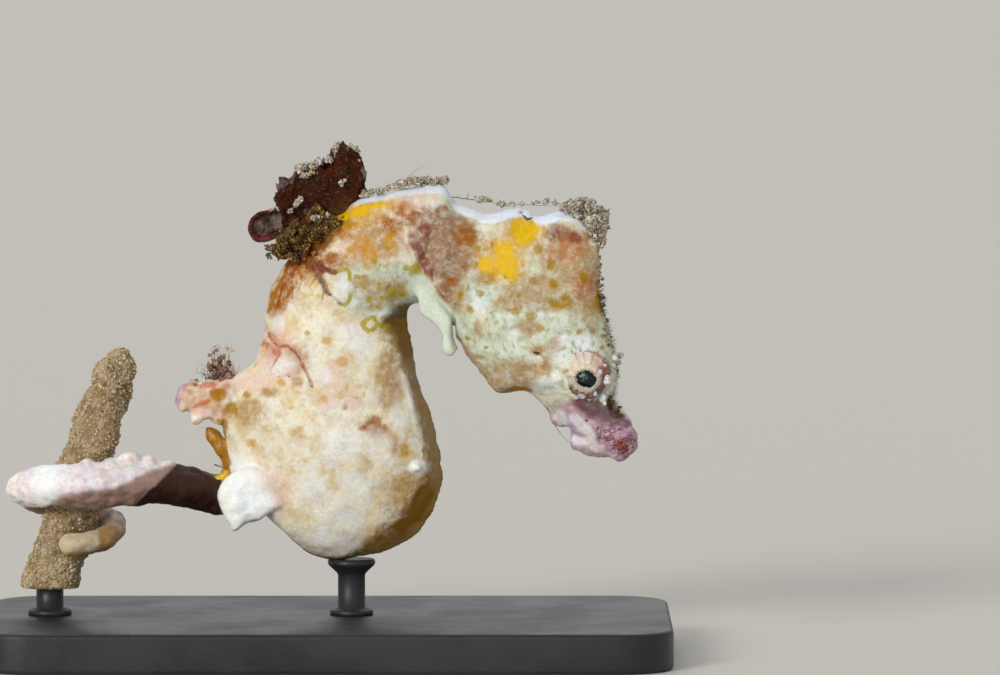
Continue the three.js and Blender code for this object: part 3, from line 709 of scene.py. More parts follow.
# Ovals are (x, z, half length, half height, turn in degrees); strokes are (points, half width).
OVALS = {
    "cool": [
        (2.12, 4.22, 0.56, 0.5), (1.97, 4.58, 0.26, 0.22), (0.52, 4.74, 0.3, 0.17), (0.9, 4.68, 0.22, 0.16),
        (0.66, 4.42, 0.34, 0.16), (3.1, 4.02, 0.34, 0.22), (2.84, 3.8, 0.16, 0.18), (2.8, 3.44, 0.16, 0.1),
    ],
    "white": [
        # The oval at (0.15, 1.62) is the belly's white network, made whiter as painted light against the
        # shade under the belly.
        (0.15, 1.62, 0.3, 0.2, 20), (0.16, 2.66, 0.18, 0.26), (0.3, 1.9, 0.2, 0.14),
        (0.28, 4.06, 0.12, 0.1), (-0.1, 1.95, 0.16, 0.34, 30), (0.66, 2.62, 0.1, 0.16),
        (1.12, 2.36, 0.11, 0.07), (2.95, 3.95, 0.08, 0.07), (3.22, 3.93, 0.1, 0.08),
        (2.3, 4.02, 0.08, 0.06), (2.88, 3.72, 0.08, 0.08), (2.7, 3.42, 0.12, 0.06, 10),
        (2.86, 3.5, 0.06, 0.05), (0.4, 3.92, 0.1, 0.12), (-0.05, 3.48, 0.09, 0.1), (0.3, 4.6, 0.03, 0.06),
        (0.17, 4.58, 0.07, 0.12, -20), (-0.52, 3.62, 0.13, 0.07, 20), (-0.6, 4.16, 0.07, 0.1),
        (0.9, 2.98, 0.1, 0.14), (0.32, 2.2, 0.14, 0.1), (1.9, 4.34, 0.05, 0.2, 20),
        (3.33, 5.16, 0.05, 0.04),
    ],
    "frost": [
        (-1.08, 2.02, 0.22, 0.34), (-0.98, 1.84, 0.26, 0.18), (-1.16, 1.7, 0.12, 0.14),
        (1.13, 2.36, 0.08, 0.06),
    ],
    "pink": [
        (-0.95, 2.22, 0.14, 0.16), (-1.52, 3.02, 0.14, 0.07), (-0.62, 2.05, 0.16, 0.2),
        (-1.3, 3.4, 0.2, 0.08, 30), (-0.85, 3.42, 0.2, 0.1), (-0.55, 4.02, 0.08, 0.14),
        (-0.72, 3.7, 0.1, 0.14), (-0.4, 3.66, 0.14, 0.16), (0.02, 3.2, 0.1, 0.08), (0.3, 3.14, 0.08, 0.06),
        (1.04, 5.6, 0.16, 0.1), (0.35, 5.12, 0.16, 0.16), (3.05, 3.1, 0.1, 0.06), (0.12, 3.5, 0.1, 0.12),
    ],
    "tan": [
        (3.18, 4.8, 0.28, 0.36), (2.95, 5.0, 0.26, 0.22), (3.3, 4.5, 0.14, 0.3), (2.7, 4.62, 0.2, 0.14),
        (1.75, 5.1, 0.18, 0.26, 20), (0.66, 5.2, 0.3, 0.22, 10), (0.76, 2.7, 0.2, 0.1, -40),
        (0.78, 3.62, 0.12, 0.2), (0.1, 4.9, 0.2, 0.1), (0.46, 4.66, 0.12, 0.08), (0.7, 4.52, 0.26, 0.1),
        (0.86, 4.62, 0.14, 0.08), (0.6, 4.36, 0.1, 0.05), (1.98, 4.74, 0.1, 0.12), (2.52, 4.1, 0.12, 0.1),
        (1.9, 4.1, 0.06, 0.1), (2.2, 4.4, 0.12, 0.08), (2.62, 3.82, 0.1, 0.06), (2.5, 4.5, 0.3, 0.14),
        # Tan: the oval at (1.05, 2.02), on the belly's lower right beside the keel, is painted shade.
        (-0.55, 4.6, 0.14, 0.3, -15), (-0.3, 4.8, 0.2, 0.12), (1.05, 2.02, 0.3, 0.26, 60),
        (-0.36, 3.72, 0.12, 0.15), (-1.0, 3.05, 0.22, 0.14), (0.8, 3.3, 0.12, 0.22, 10),
        (-0.7, 3.3, 0.1, 0.05), (-0.35, 3.42, 0.06, 0.05), (2.34, 3.56, 0.26, 0.12), (1.6, 4.5, 0.12, 0.22),
    ],
    "mauve": [
        (1.27, 5.42, 0.22, 0.14), (1.38, 5.18, 0.24, 0.22), (1.66, 5.28, 0.16, 0.16), (1.5, 5.0, 0.22, 0.2),
        (1.29, 4.93, 0.13, 0.16), (1.5, 4.82, 0.16, 0.15), (1.46, 4.54, 0.08, 0.16),
        (1.66, 4.92, 0.1, 0.12), (1.55, 5.42, 0.14, 0.1), (2.88, 5.28, 0.15, 0.08),
        (3.14, 5.22, 0.15, 0.09),
    ],
    # Violet: painted shade in the neck's crease and the hollow under the coronet.
    "violet": [(1.22, 5.32, 0.06, 0.07), (3.1, 5.22, 0.07, 0.05), (2.84, 5.27, 0.05, 0.04)],
    # Painted shade: the first three ovals darken the hollow under the neck, the fourth the belly's lower
    # end by the keel.
    "umber": [
        (1.0, 4.27, 0.15, 0.1), (0.86, 4.2, 0.15, 0.08, 20), (1.0, 4.02, 0.1, 0.26),
        (1.16, 1.95, 0.07, 0.2, -20), (-0.28, 5.04, 0.2, 0.07, 38),
    ],
    "lilac": [
        (3.34, 2.82, 0.44, 0.26, -18), (3.78, 2.74, 0.26, 0.3), (3.02, 2.98, 0.13, 0.1),
        (-1.9, 3.22, 0.06, 0.13), (-1.84, 3.36, 0.07, 0.05),
    ],
    "wine": [(3.7, 2.66, 0.12, 0.13), (3.52, 2.76, 0.14, 0.1), (3.42, 2.84, 0.08, 0.05)],
    # Painted shade on the snout's upper side.
    "dusk_shade": [(3.3, 3.02, 0.05, 0.04)],
    "rust": [
        (0.98, 5.55, 0.13, 0.1), (0.22, 5.36, 0.1, 0.13), (-0.5, 4.6, 0.09, 0.26, -22),
        (-0.3, 4.9, 0.22, 0.12, 30), (-0.62, 4.42, 0.07, 0.16, -12), (-0.08, 4.85, 0.12, 0.05, -15),
        (0.02, 4.96, 0.14, 0.1), (-0.12, 5.12, 0.18, 0.1, 35), (0.68, 2.84, 0.07, 0.05),
        (1.73, 5.24, 0.11, 0.09), (-0.1, 4.96, 0.12, 0.09), (-0.15, 4.84, 0.08, 0.05),
        (-0.48, 4.8, 0.04, 0.1), (-0.65, 4.46, 0.07, 0.13, -10), (-0.62, 4.27, 0.05, 0.06),
        (0.57, 2.93, 0.09, 0.06), (0.46, 2.88, 0.07, 0.04), (-0.84, 3.92, 0.06, 0.04),
        (1.57, 4.68, 0.06, 0.05), (-1.2, 3.58, 0.06, 0.04), (-1.36, 3.28, 0.09, 0.05),
        (-0.4, 4.92, 0.05, 0.05), (0.22, 3.12, 0.035, 0.03), (0.8, 5.38, 0.12, 0.1),
        (1.42, 5.58, 0.08, 0.04),
    ],
    "flush": [
        (-0.62, 3.8, 0.06, 0.035, -40), (-0.74, 3.88, 0.05, 0.03), (-1.56, 3.15, 0.1, 0.025, 25),
        (-1.72, 3.4, 0.06, 0.03), (3.12, 3.19, 0.08, 0.035, -20), (-1.5, 3.38, 0.1, 0.03),
    ],
    "gold": [
        (0.6, 5.62, 0.24, 0.06, 10), (0.8, 5.17, 0.07, 0.1), (0.54, 5.0, 0.08, 0.12),
        (0.3, 5.03, 0.1, 0.06), (0.19, 3.67, 0.07, 0.05), (0.01, 3.93, 0.05, 0.04),
        (-0.35, 2.79, 0.08, 0.06), (-0.93, 2.67, 0.05, 0.04), (2.36, 5.18, 0.11, 0.11),
        (2.13, 5.12, 0.06, 0.08), (0.04, 5.34, 0.12, 0.12), (-0.02, 5.18, 0.1, 0.08),
        (0.98, 2.58, 0.05, 0.07), (0.18, 5.5, 0.14, 0.08, 35), (0.45, 5.15, 0.1, 0.08),
        (-0.04, 3.2, 0.05, 0.04), (-0.56, 3.42, 0.04, 0.05), (2.42, 5.26, 0.2, 0.22),
        (2.2, 4.96, 0.24, 0.26), (0.36, 5.48, 0.34, 0.13, 25),
    ],
    "yellow": [
        (2.49, 5.33, 0.14, 0.1, -15), (2.38, 5.4, 0.06, 0.05), (2.23, 5.07, 0.1, 0.11),
        (2.24, 4.88, 0.13, 0.16), (2.0, 4.89, 0.09, 0.08), (0.43, 5.57, 0.12, 0.055, 15),
        (0.64, 5.63, 0.09, 0.035, 12), (0.22, 5.49, 0.08, 0.05, 30), (2.42, 5.24, 0.08, 0.1),
        (0.0, 5.36, 0.09, 0.08),
    ],
    "olive": [
        (0.4, 4.725, 0.035, 0.03), (0.66, 4.65, 0.035, 0.022), (0.54, 4.456, 0.035, 0.045),
        (0.7, 4.465, 0.03, 0.025), (0.82, 4.544, 0.05, 0.045), (1.06, 4.54, 0.075, 0.045),
        (1.1, 4.8, 0.07, 0.085), (1.0, 4.84, 0.04, 0.03), (1.24, 4.74, 0.03, 0.035),
        (0.94, 4.52, 0.04, 0.03), (1.02, 4.68, 0.025, 0.02), (0.6, 4.92, 0.03, 0.03),
        (0.72, 4.12, 0.08, 0.03), (0.62, 4.36, 0.02, 0.02), (0.47, 4.6, 0.02, 0.02),
    ],
    "ochre": [
        (2.63, 5.075, 0.045, 0.06), (2.79, 4.89, 0.042, 0.065), (2.81, 4.65, 0.042, 0.055),
        (2.56, 4.68, 0.045, 0.045), (2.35, 4.3, 0.045, 0.045), (2.54, 4.24, 0.055, 0.045),
        (1.91, 4.53, 0.045, 0.04), (1.79, 4.325, 0.042, 0.042), (1.75, 3.975, 0.035, 0.03),
        (1.68, 4.5, 0.03, 0.04), (1.9, 3.73, 0.04, 0.025), (2.975, 4.47, 0.05, 0.05),
        (3.4, 4.42, 0.06, 0.12), (2.4, 4.5, 0.025, 0.025), (1.975, 3.86, 0.02, 0.02),
        (2.66, 4.09, 0.045, 0.04), (2.99, 3.56, 0.045, 0.035), (2.77, 3.5, 0.035, 0.016),
        (-1.35, 3.26, 0.075, 0.06), (-1.19, 3.1, 0.06, 0.06), (-1.34, 2.93, 0.04, 0.03),
        (-1.0, 3.26, 0.04, 0.04), (-0.23, 4.04, 0.03, 0.03), (1.99, 4.2, 0.02, 0.02),
        (2.22, 4.72, 0.02, 0.02), (3.2, 4.72, 0.04, 0.06), (1.58, 5.2, 0.02, 0.02),
        (1.9, 5.09, 0.025, 0.035, 30), (1.87, 4.9, 0.02, 0.03), (2.05, 5.14, 0.02, 0.04),
    ],
    "rose": [
        (-1.6, 3.22, 0.26, 0.15), (-1.34, 3.34, 0.16, 0.07), (-0.66, 3.88, 0.12, 0.16),
        (-1.3, 3.02, 0.1, 0.05), (3.12, 3.06, 0.1, 0.06), (2.98, 5.06, 0.2, 0.12), (3.22, 4.62, 0.12, 0.16),
        (3.56, 2.6, 0.2, 0.06), (3.66, 2.7, 0.16, 0.12),
    ],
    "scar": [(-0.24, 4.94, 0.16, 0.06, -35), (-0.1, 4.86, 0.1, 0.04, -35)],
    "vein": [(3.65, 2.64, 0.06, 0.08), (3.7, 2.58, 0.05, 0.05)],
    "pore": [
        (2.62, 3.78, 0.045, 0.022, -10), (3.24, 2.95, 0.02, 0.02), (1.42, 2.4, 0.02, 0.03),
        (3.08, 5.19, 0.012, 0.012),
    ],
}

STROKES = {
    "white": [
        ([(0.96, 3.5), (1.04, 3.22), (1.1, 2.92)], 0.028), ([(1.02, 2.36), (0.86, 2.3)], 0.03),
        ([(3.1, 2.7), (3.24, 2.68), (3.4, 2.6)], 0.045), ([(2.9, 3.02), (2.94, 2.94)], 0.05),
        ([(-1.68, 2.95), (-1.6, 2.98)], 0.03), ([(3.08, 2.98), (3.22, 2.84), (3.3, 2.74)], 0.05),
    ],
    "pink": [([(0.98, 5.75), (1.18, 5.76), (1.36, 5.7)], 0.03)],
    "tan": [
        # These tan strokes are painted shade: along the belly's lower edge, in the brow's fold and round
        # the cheek's lower rim.
        ([(0.6, 1.42), (0.9, 1.55), (1.2, 1.85)], 0.12), ([(2.76, 4.4), (3.0, 4.42), (3.34, 4.46)], 0.09),
        ([(1.62, 3.9), (1.86, 3.62), (2.14, 3.38), (2.5, 3.4), (2.74, 3.62), (2.86, 3.9)], 0.07),
    ],
    # Painted shade along the neck's crease.
    "violet": [([(1.06, 5.22), (1.17, 5.02), (1.27, 4.85), (1.27, 4.7)], 0.045)],
    # Painted shade along the belly's lower edge beside the keel.
    "umber": [([(0.9, 1.6), (1.12, 1.76), (1.28, 2.02)], 0.05)],
    # Painted shade along the snout's upper side.
    "dusk_shade": [([(3.2, 3.18), (3.4, 3.05), (3.6, 2.97)], 0.085), ([(3.58, 2.97), (3.74, 2.9)], 0.04)],
    "rust": [([(-0.46, 4.92), (-0.58, 4.66), (-0.7, 4.4)], 0.035)],
    "olive": [
        (
            [
                (0.1, 4.8), (0.25, 4.825), (0.3, 4.78), (0.305, 4.62), (0.3, 4.46), (0.24, 4.375),
                (0.16, 4.41),
            ],
            0.022,
        ),
        (
            [
                (0.46, 4.14), (0.5, 4.21), (0.57, 4.23), (0.63, 4.17), (0.61, 4.08), (0.53, 4.06),
                (0.47, 4.1),
            ],
            0.024,
        ),
    ],
    "ochre": [
        ([(2.8, 4.41), (2.92, 4.37), (3.02, 4.42)], 0.03),
        ([(1.51, 4.34), (1.54, 4.22), (1.56, 4.06)], 0.022),
    ],
    "amber": [
        ([(1.63, 3.8), (1.86, 3.54), (2.12, 3.28)], 0.022),
        ([(2.14, 3.27), (2.32, 3.34), (2.54, 3.32)], 0.022),
        ([(-0.44, 5.0), (-0.6, 4.62), (-0.74, 4.3)], 0.018),
        ([(1.16, 4.44), (1.3, 4.27), (1.41, 4.12), (1.45, 3.95)], 0.012),
        ([(-1.28, 2.92), (-1.34, 2.6), (-1.24, 2.4)], 0.04),
    ],
    "rose": [([(-0.8, 4.17), (-0.72, 4.0), (-0.6, 3.87), (-0.44, 3.86)], 0.035)],
    "scar": [
        ([(-0.48, 4.92), (-0.24, 5.03), (-0.02, 5.17), (0.12, 5.33)], 0.06),
        ([(-0.28, 4.98), (-0.14, 4.84), (-0.03, 4.64), (0.01, 4.54)], 0.034),
        ([(-0.2, 4.92), (-0.02, 4.84), (0.1, 4.8)], 0.032),
        ([(0.01, 4.54), (0.1, 4.47), (0.225, 4.36)], 0.01),
    ],
    "vein": [
        ([(-0.24, 4.856), (-0.12, 4.73), (-0.04, 4.64), (0.01, 4.54), (0.1, 4.47), (0.225, 4.36)], 0.013),
        ([(-0.04, 4.54), (-0.056, 4.45)], 0.01),
        (
            [
                (-0.73, 4.04), (-0.67, 3.93), (-0.59, 3.87), (-0.48, 3.87), (-0.38, 3.79), (-0.32, 3.7),
                (-0.275, 3.59), (-0.21, 3.47), (-0.17, 3.37),
            ],
            0.02,
        ),
        (
            [
                (-0.6, 3.76), (-0.64, 3.68), (-0.7, 3.58), (-0.68, 3.53), (-0.59, 3.5), (-0.49, 3.52),
                (-0.4, 3.45),
            ],
            0.01,
        ),
        ([(-0.2, 5.0), (-0.06, 4.9), (0.06, 4.8)], 0.02),
        ([(-0.3, 4.98), (-0.4, 4.8), (-0.55, 4.62), (-0.62, 4.36)], 0.016),
        ([(-0.28, 4.95), (-0.24, 4.84)], 0.022), ([(-0.36, 4.86), (-0.3, 4.7), (-0.34, 4.58)], 0.01),
        ([(-0.48, 4.7), (-0.42, 4.58), (-0.44, 4.46)], 0.009),
        ([(-0.12, 4.73), (-0.2, 4.62), (-0.18, 4.5)], 0.009),
        ([(1.33, 4.62), (1.44, 4.5), (1.46, 4.4)], 0.012),
    ],
    "pore": [([(2.44, 5.5), (2.5, 5.44), (2.56, 5.47)], 0.012)],
}


EYE_SHOWN = (3.19, 3.53)


def round_eye(distance, degrees):
    """A place on the side view, that far from the middle of the eye in that direction."""
    angle = math.radians(degrees)
    return EYE_SHOWN[0] + distance * math.cos(angle), EYE_SHOWN[1] + distance * math.sin(angle)


def eye_ring_spots():
    """Small brown spots on two arcs round the upper half of the eye, as ovals."""
    rings = ((0.4, 6, 55, 145, 0.024), (0.53, 5, 62, 128, 0.032))
    return [
        (*round_eye(distance, degrees), size, size * 1.15)
        for distance, count, first, last, size in rings
        for degrees in np.linspace(first, last, count)
    ]


def lashes():
    """Short red strokes that stand outwards on the upper half of the eye's rim."""
    inner, outer, half_width = 0.29, 0.345, 0.014
    return [([round_eye(inner, at), round_eye(outer, at)], half_width) for at in range(34, 160, 21)]


OVALS["ochre"].extend(eye_ring_spots())
STROKES["vein"].extend(lashes())

# ---- Materials


def plug(tree, socket, value):
    """Joins a socket to the one given or sets its value; a colour of three numbers gets full alpha."""
    if isinstance(value, bpy.types.NodeSocket):
        tree.links.new(value, socket)
    elif socket.type == "RGBA" and len(value) == 3:
        socket.default_value = (*value, 1.0)
    else:
        socket.default_value = value


class Nodes:
    """A node tree and the place that its patterns read. Each method adds nodes and gives a socket."""

    def __init__(self, tree, place=None):
        self.tree = tree
        self.place = place

    def add(self, kind, inputs=None, **settings):
        """The outputs of a node with its settings, its inputs set to values or joined to sockets."""
        node = self.tree.nodes.new("ShaderNode" + kind)
        for name, value in settings.items():
            setattr(node, name, value)
        for key, value in (inputs or {}).items():
            plug(self.tree, node.inputs[key], value)
        return node.outputs

    def mix(self, factor, a, b, blend="MIX"):
        """The colour that a Mix node gives."""
        return self.add("Mix", {0: factor, 6: a, 7: b}, data_type="RGBA", blend_type=blend)[2]

    def fade(self, value, low, high, to_low=0.0, to_high=1.0):
        """The value carried smoothly from one span to another."""
        inputs = {"Value": value, "From Min": low, "From Max": high, "To Min": to_low, "To Max": to_high}
        return self.add("MapRange", inputs, interpolation_type="SMOOTHSTEP")[0]

    def sum(self, operation, a, b):
        """The result of one sum on two values."""
        return self.add("Math", {0: a, 1: b}, operation=operation)[0]

    def times(self, value, *factors):
        """The value multiplied by each factor in turn."""
        for factor in factors:
            value = self.sum("MULTIPLY", value, factor)
        return value

    def noise(self, size, detail=3.0, roughness=0.5):
        """The value of a noise whose blotches are about that many millimetres."""
        inputs = {"Vector": self.place, "Scale": 1 / size, "Detail": detail, "Roughness": roughness}
        return self.add("TexNoise", inputs)[0]

    def cells(self, place, scale):
        """How far each place is from the border of its Voronoi cell."""
        return self.add("TexVoronoi", {"Vector": place, "Scale": scale}, feature="DISTANCE_TO_EDGE")[0]

    def value(self, name):
        """The number that a mesh keeps under a name."""
        return self.add("Attribute", attribute_name=name)["Fac"]

    def effect(self, name, **inputs):
        """A shader group placed with its own values; spaces are written as underscores."""
        node = self.tree.nodes.new("ShaderNodeGroup")
        node.node_tree = bpy.data.node_groups.get(name) or GROUPS[name](name)
        if "Vector" in node.inputs:
            inputs["Vector"] = self.place
        for key, value in inputs.items():
            plug(self.tree, node.inputs[key.replace("_", " ")], value)
        return node.outputs

    def ragged(self, name, grain, low, high, raggedness):
        """The mask of a mark with a ragged edge."""
        inputs = {"Mark": self.value(name), "Noise": grain, "Raggedness": raggedness}
        return self.effect("Ragged edge", **inputs, Low=low, High=high)["Mask"]

    def layer(self, base, name, tone, low, high, raggedness, strength, grain, patchy=()):
        """The colour so far under a ragged mark of another tone."""
        mask = self.ragged(name, grain, low, high, raggedness)
        return self.mix(self.times(mask, *patchy, strength), base, tone)

    def finish(self, base, height=None, distance=0.01, roughness=None, alpha=None, speckled=False):
        """Joins colour, bump, roughness and alpha to the shader; the bump's distance is in millimetres."""
        if speckled:
            base = self.effect("Speckle", Color=base)["Color"]
        joints = {"Base Color": base, "Roughness": roughness, "Alpha": alpha}
        if height is not None:
            bump = {"Height": height, "Distance": distance * MM, "Strength": 1.0}
            joints["Normal"] = self.add("Bump", bump)[0]
        for key, value in joints.items():
            if value is not None:
                plug(self.tree, self.tree.nodes["Principled BSDF"].inputs[key], value)


def new_group(name, inputs, outputs):
    """An empty shader group's nodes, inputs and outputs. An input without a default is a vector, one
    with a number a value and one with three numbers a colour."""
    group = bpy.data.node_groups.new(name, "ShaderNodeTree")
    for label, default in inputs.items():
        kind = "Vector" if default is None else "Float" if isinstance(default, float) else "Color"
        socket = group.interface.new_socket(label, in_out="INPUT", socket_type="NodeSocket" + kind)
        if default is not None:
            socket.default_value = (*default, 1.0) if kind == "Color" else default
    for label in outputs:
        kind = "Color" if label == "Color" else "Float"
        group.interface.new_socket(label, in_out="OUTPUT", socket_type="NodeSocket" + kind)
    given = group.nodes.new("NodeGroupInput").outputs
    return Nodes(group, given.get("Vector")), given, group.nodes.new("NodeGroupOutput").inputs


def give(nodes, result, **values):
    """Joins a group's values to its outputs and gives the group."""
    for key, value in values.items():
        nodes.tree.links.new(value, result[key])
    return nodes.tree


WHITE = (1.0, 1.0, 1.0)


def make_mottle(name):
    """Skin mottling: broad soft blotches of three tones, a pale network of cell borders, and grain."""
    tones = {"Light": WHITE, "Middle": WHITE, "Dark": WHITE, "Network colour": WHITE}
    sizes = {"Blotch size": 0.2, "Cell size": 0.1, "Network": 0.4, "Darkness": 0.5}
    nodes, given, result = new_group(name, {"Vector": None, **tones, **sizes}, ("Color", "Height"))
    wobble = nodes.add("TexNoise", {"Vector": nodes.place, "Scale": 11.0, "Detail": 2.0})["Color"]
    centred = nodes.add("VectorMath", {0: wobble, 1: (0.5, 0.5, 0.5)}, operation="SUBTRACT")[0]
    scaled = nodes.add("VectorMath", {0: centred, "Scale": 0.12}, operation="SCALE")[0]
    nodes.place = nodes.add("VectorMath", {0: given["Vector"], 1: scaled}, operation="ADD")[0]
    scale = nodes.sum("DIVIDE", 1.0, given["Blotch size"])
    broad, finer = (
        nodes.add("TexNoise", {"Vector": nodes.place, "Scale": size, "Detail": 3.0, "Roughness": rough})[0]
        for size, rough in ((scale, 0.55), (nodes.times(scale, 2.3), 0.6))
    )
    toned = nodes.mix(nodes.fade(broad, 0.36, 0.62), given["Middle"], given["Light"])
    dark = nodes.times(nodes.fade(finer, 0.47, 0.7), given["Darkness"])
    toned = nodes.mix(dark, toned, given["Dark"])
    border = nodes.cells(nodes.place, nodes.sum("DIVIDE", 1.0, given["Cell size"]))
    net = nodes.times(nodes.fade(border, 0.0, 0.42, 1.0, 0.0), given["Network"])
    net = nodes.times(net, nodes.fade(broad, 0.3, 0.6, 0.35, 1.0))
    toned = nodes.mix(net, toned, given["Network colour"])
    height = nodes.sum("ADD", nodes.times(net, 0.5), nodes.times(nodes.noise(0.018, 2.0), 0.35))
    return give(nodes, result, Color=toned, Height=nodes.sum("ADD", height, nodes.times(finer, 0.6)))


def make_edge(name):
    """A mark's ragged edge: the mark's value, shifted by noise, becomes a mask with a soft rim."""
    inputs = {"Mark": 0.0, "Noise": 0.5, "Raggedness": 0.5, "Low": 0.6, "High": 0.85}
    nodes, given, result = new_group(name, inputs, ("Mask",))
    shift = nodes.times(nodes.sum("SUBTRACT", given["Noise"], 0.5), given["Raggedness"])
    value = nodes.sum("ADD", given["Mark"], shift)
    return give(nodes, result, Mask=nodes.fade(value, given["Low"], given["High"]))


def make_grit(name):
    """Sandy grit: two tones in blotches, with single pale and dark grains, and their height."""
    tones = {"Light": WHITE, "Dark": (0.0, 0.0, 0.0), "Pale grain": WHITE, "Dark grain": (0.0, 0.0, 0.0)}
    inputs = {"Vector": None, **tones, "Grain size": 0.04, "Sparsity": 0.6}
    nodes, given, result = new_group(name, inputs, ("Color", "Height"))
    broad = nodes.noise(0.22, 4.0, 0.6)
    toned = nodes.mix(nodes.fade(broad, 0.38, 0.62), given["Dark"], given["Light"])
    scale = nodes.sum("DIVIDE", 1.0, given["Grain size"])
    cells = nodes.add("TexVoronoi", {"Vector": nodes.place, "Scale": scale})
    parts = nodes.add("SeparateColor", {0: cells["Color"]})
    dome = nodes.fade(cells["Distance"], 0.15, 0.6, 1.0, 0.0)
    for part, tone in ((0, "Pale grain"), (1, "Dark grain")):
        chosen = nodes.sum("GREATER_THAN", parts[part], given["Sparsity"])
        toned = nodes.mix(nodes.times(chosen, dome), toned, given[tone])
    return give(nodes, result, Color=toned, Height=nodes.sum("ADD", dome, nodes.times(broad, 2.0)))


def make_network(name):
    """A granular network inside a mark: red lines between small cells, and pale cell middles."""
    nodes, given, result = new_group(name, {"Vector": None, "Mark": 0.0}, ("Mask", "Pale"))
    shift = nodes.add("TexNoise", {"Vector": nodes.place, "Scale": 22.0, "Detail": 2.0})["Color"]
    inputs = {0: shift, 1: (0.16, 0.16, 0.16), 2: given["Vector"]}
    nodes.place = nodes.add("VectorMath", inputs, operation="MULTIPLY_ADD")[0]
    border = nodes.cells(nodes.place, 17.0)
    broad = nodes.noise(0.09)
    line = nodes.times(nodes.fade(border, 0.02, 0.3, 1.0, 0.0), nodes.fade(broad, 0.35, 0.55))
    red = nodes.sum("MAXIMUM", line, nodes.fade(broad, 0.6, 0.7))
    pale = nodes.times(nodes.fade(border, 0.3, 0.45), given["Mark"], 0.5)
    return give(nodes, result, Mask=nodes.times(red, given["Mark"], 0.9), Pale=pale)


def make_speckle(name):
    """A fine speckle over a colour: lighter and darker grain in two sizes, and a faint drift of hue."""
    nodes, given, result = new_group(name, {"Vector": None, "Color": WHITE}, ("Color",))
    small = nodes.fade(nodes.noise(0.016, 2.0, 0.7), 0.3, 0.7, 0.92, 1.06)
    larger = nodes.fade(nodes.noise(0.05, 3.0, 0.6), 0.3, 0.7, 0.94, 1.04)
    drift = nodes.noise(0.3, 3.0, 0.6)
    both = nodes.times(small, larger)
    red = nodes.times(both, nodes.fade(drift, 0.3, 0.7, 0.985, 1.03))
    blue = nodes.times(both, nodes.fade(drift, 0.3, 0.7, 1.04, 0.9))
    shade = nodes.add("CombineColor", {0: red, 1: both, 2: blue})[0]
    return give(nodes, result, Color=nodes.mix(1.0, given["Color"], shade, "MULTIPLY"))


GROUPS = {
    "Skin mottle": make_mottle, "Ragged edge": make_edge, "Grit": make_grit, "Red network": make_network,
    "Speckle": make_speckle,
}


def new_material(name, **shader):
    """A material with its Principled shader's own values set, whose patterns read Object coordinates
    in millimetres; spaces are written as underscores."""
    material = bpy.data.materials.new(name)
    material.use_nodes = True
    for key, value in shader.items():
        material.node_tree.nodes["Principled BSDF"].inputs[key.replace("_", " ")].default_value = value
    nodes = Nodes(material.node_tree)
    place = nodes.add("TexCoord")["Object"]
    nodes.place = nodes.add("Mapping", {"Vector": place, "Scale": (1 / MM, 1 / MM, 1 / MM)})[0]
    return material, nodes


# The skin's marks from the lowest layer to the top: mark, colour, where the mask starts and is full,
# how ragged its rim is, and its strength.
LAYERS = (
    ("pink", "pink", 0.05, 0.95, 0.5, 0.75),
    # tan: partly painted shade in the brow's fold, round the cheek's rim and by the keel.
    ("tan", "tan", 0.05, 1.15, 0.8, 0.72),
    ("frost", "frost", 0.1, 0.8, 0.4, 1.0),
    ("mauve", "mauve", 0.12, 1.0, 0.7, 0.94),
    # violet: painted shade in the neck's crease and the coronet's hollow.
    ("violet", "violet", 0.15, 0.9, 0.7, 0.85),
    # umber: painted shade in the hollow under the neck and by the keel's lower end.
    ("umber", "umber", 0.1, 0.9, 0.4, 0.96),
    # keel: partly painted shade on the belly's down-facing keel strip.
    ("keel", "keel", 0.48, 0.76, 0.5, 0.88),
    ("rust", "rust", 0.1, 1.15, 1.2, 0.88),
    ("rose", "flush", 0.1, 1.1, 0.8, 0.5),
    ("flush", "flush", 0.2, 0.9, 0.7, 0.7),
    ("gold", "gilt", 0.1, 1.1, 0.9, 0.72),
    ("lilac", "lilac", 0.2, 0.85, 0.6, 0.88),
    # dusk: painted shade on the snout's upper side.
    ("dusk_shade", "dusk_shade", 0.1, 0.95, 0.8, 0.74),
    ("yellow", "yellow", 0.15, 1.15, 1.4, 0.92),
    ("olive", "olive", 0.3, 0.95, 0.9, 0.8),
    ("ochre", "ochre", 0.3, 0.9, 0.5, 0.72),
    ("amber", "amber", 0.4, 0.85, 0.6, 0.8),
    ("vein", "vein", 0.4, 1.1, 1.1, 0.7),
    ("scar", "scar", 0.2, 1.0, 1.0, 0.78),
    ("white", "pearl", 0.1, 1.05, 0.9, 0.68),
    ("strip", "pale", 0.35, 0.75, 0.3, 0.92),
    ("edge", "amber", 0.4, 0.8, 0.6, 0.45),
    # crest: partly a painted highlight along the crest's upper edge.
    ("crest", "bluish", 0.25, 0.85, 0.8, 0.95),
    ("pore", "pore", 0.45, 0.9, 0.3, 0.9),
)
SMALL = ("olive", "ochre", "vein", "pore", "amber")
BROKEN = ("rose", "tan", "mauve", "violet", "rust", "gold", "lilac", "white", "pink")
# On the tail, under and lead are painted shade, lead only in part, and tip_edge is painted shade along the
# tip's bottom.
TAIL_LAYERS = (
    ("bright", "frost", 1.0), ("under", "tail_underside_shade", 0.8), ("tip", "tip", 0.9), ("tip_edge", "amber", 0.6),
    ("lead", "lead", 0.95),
)


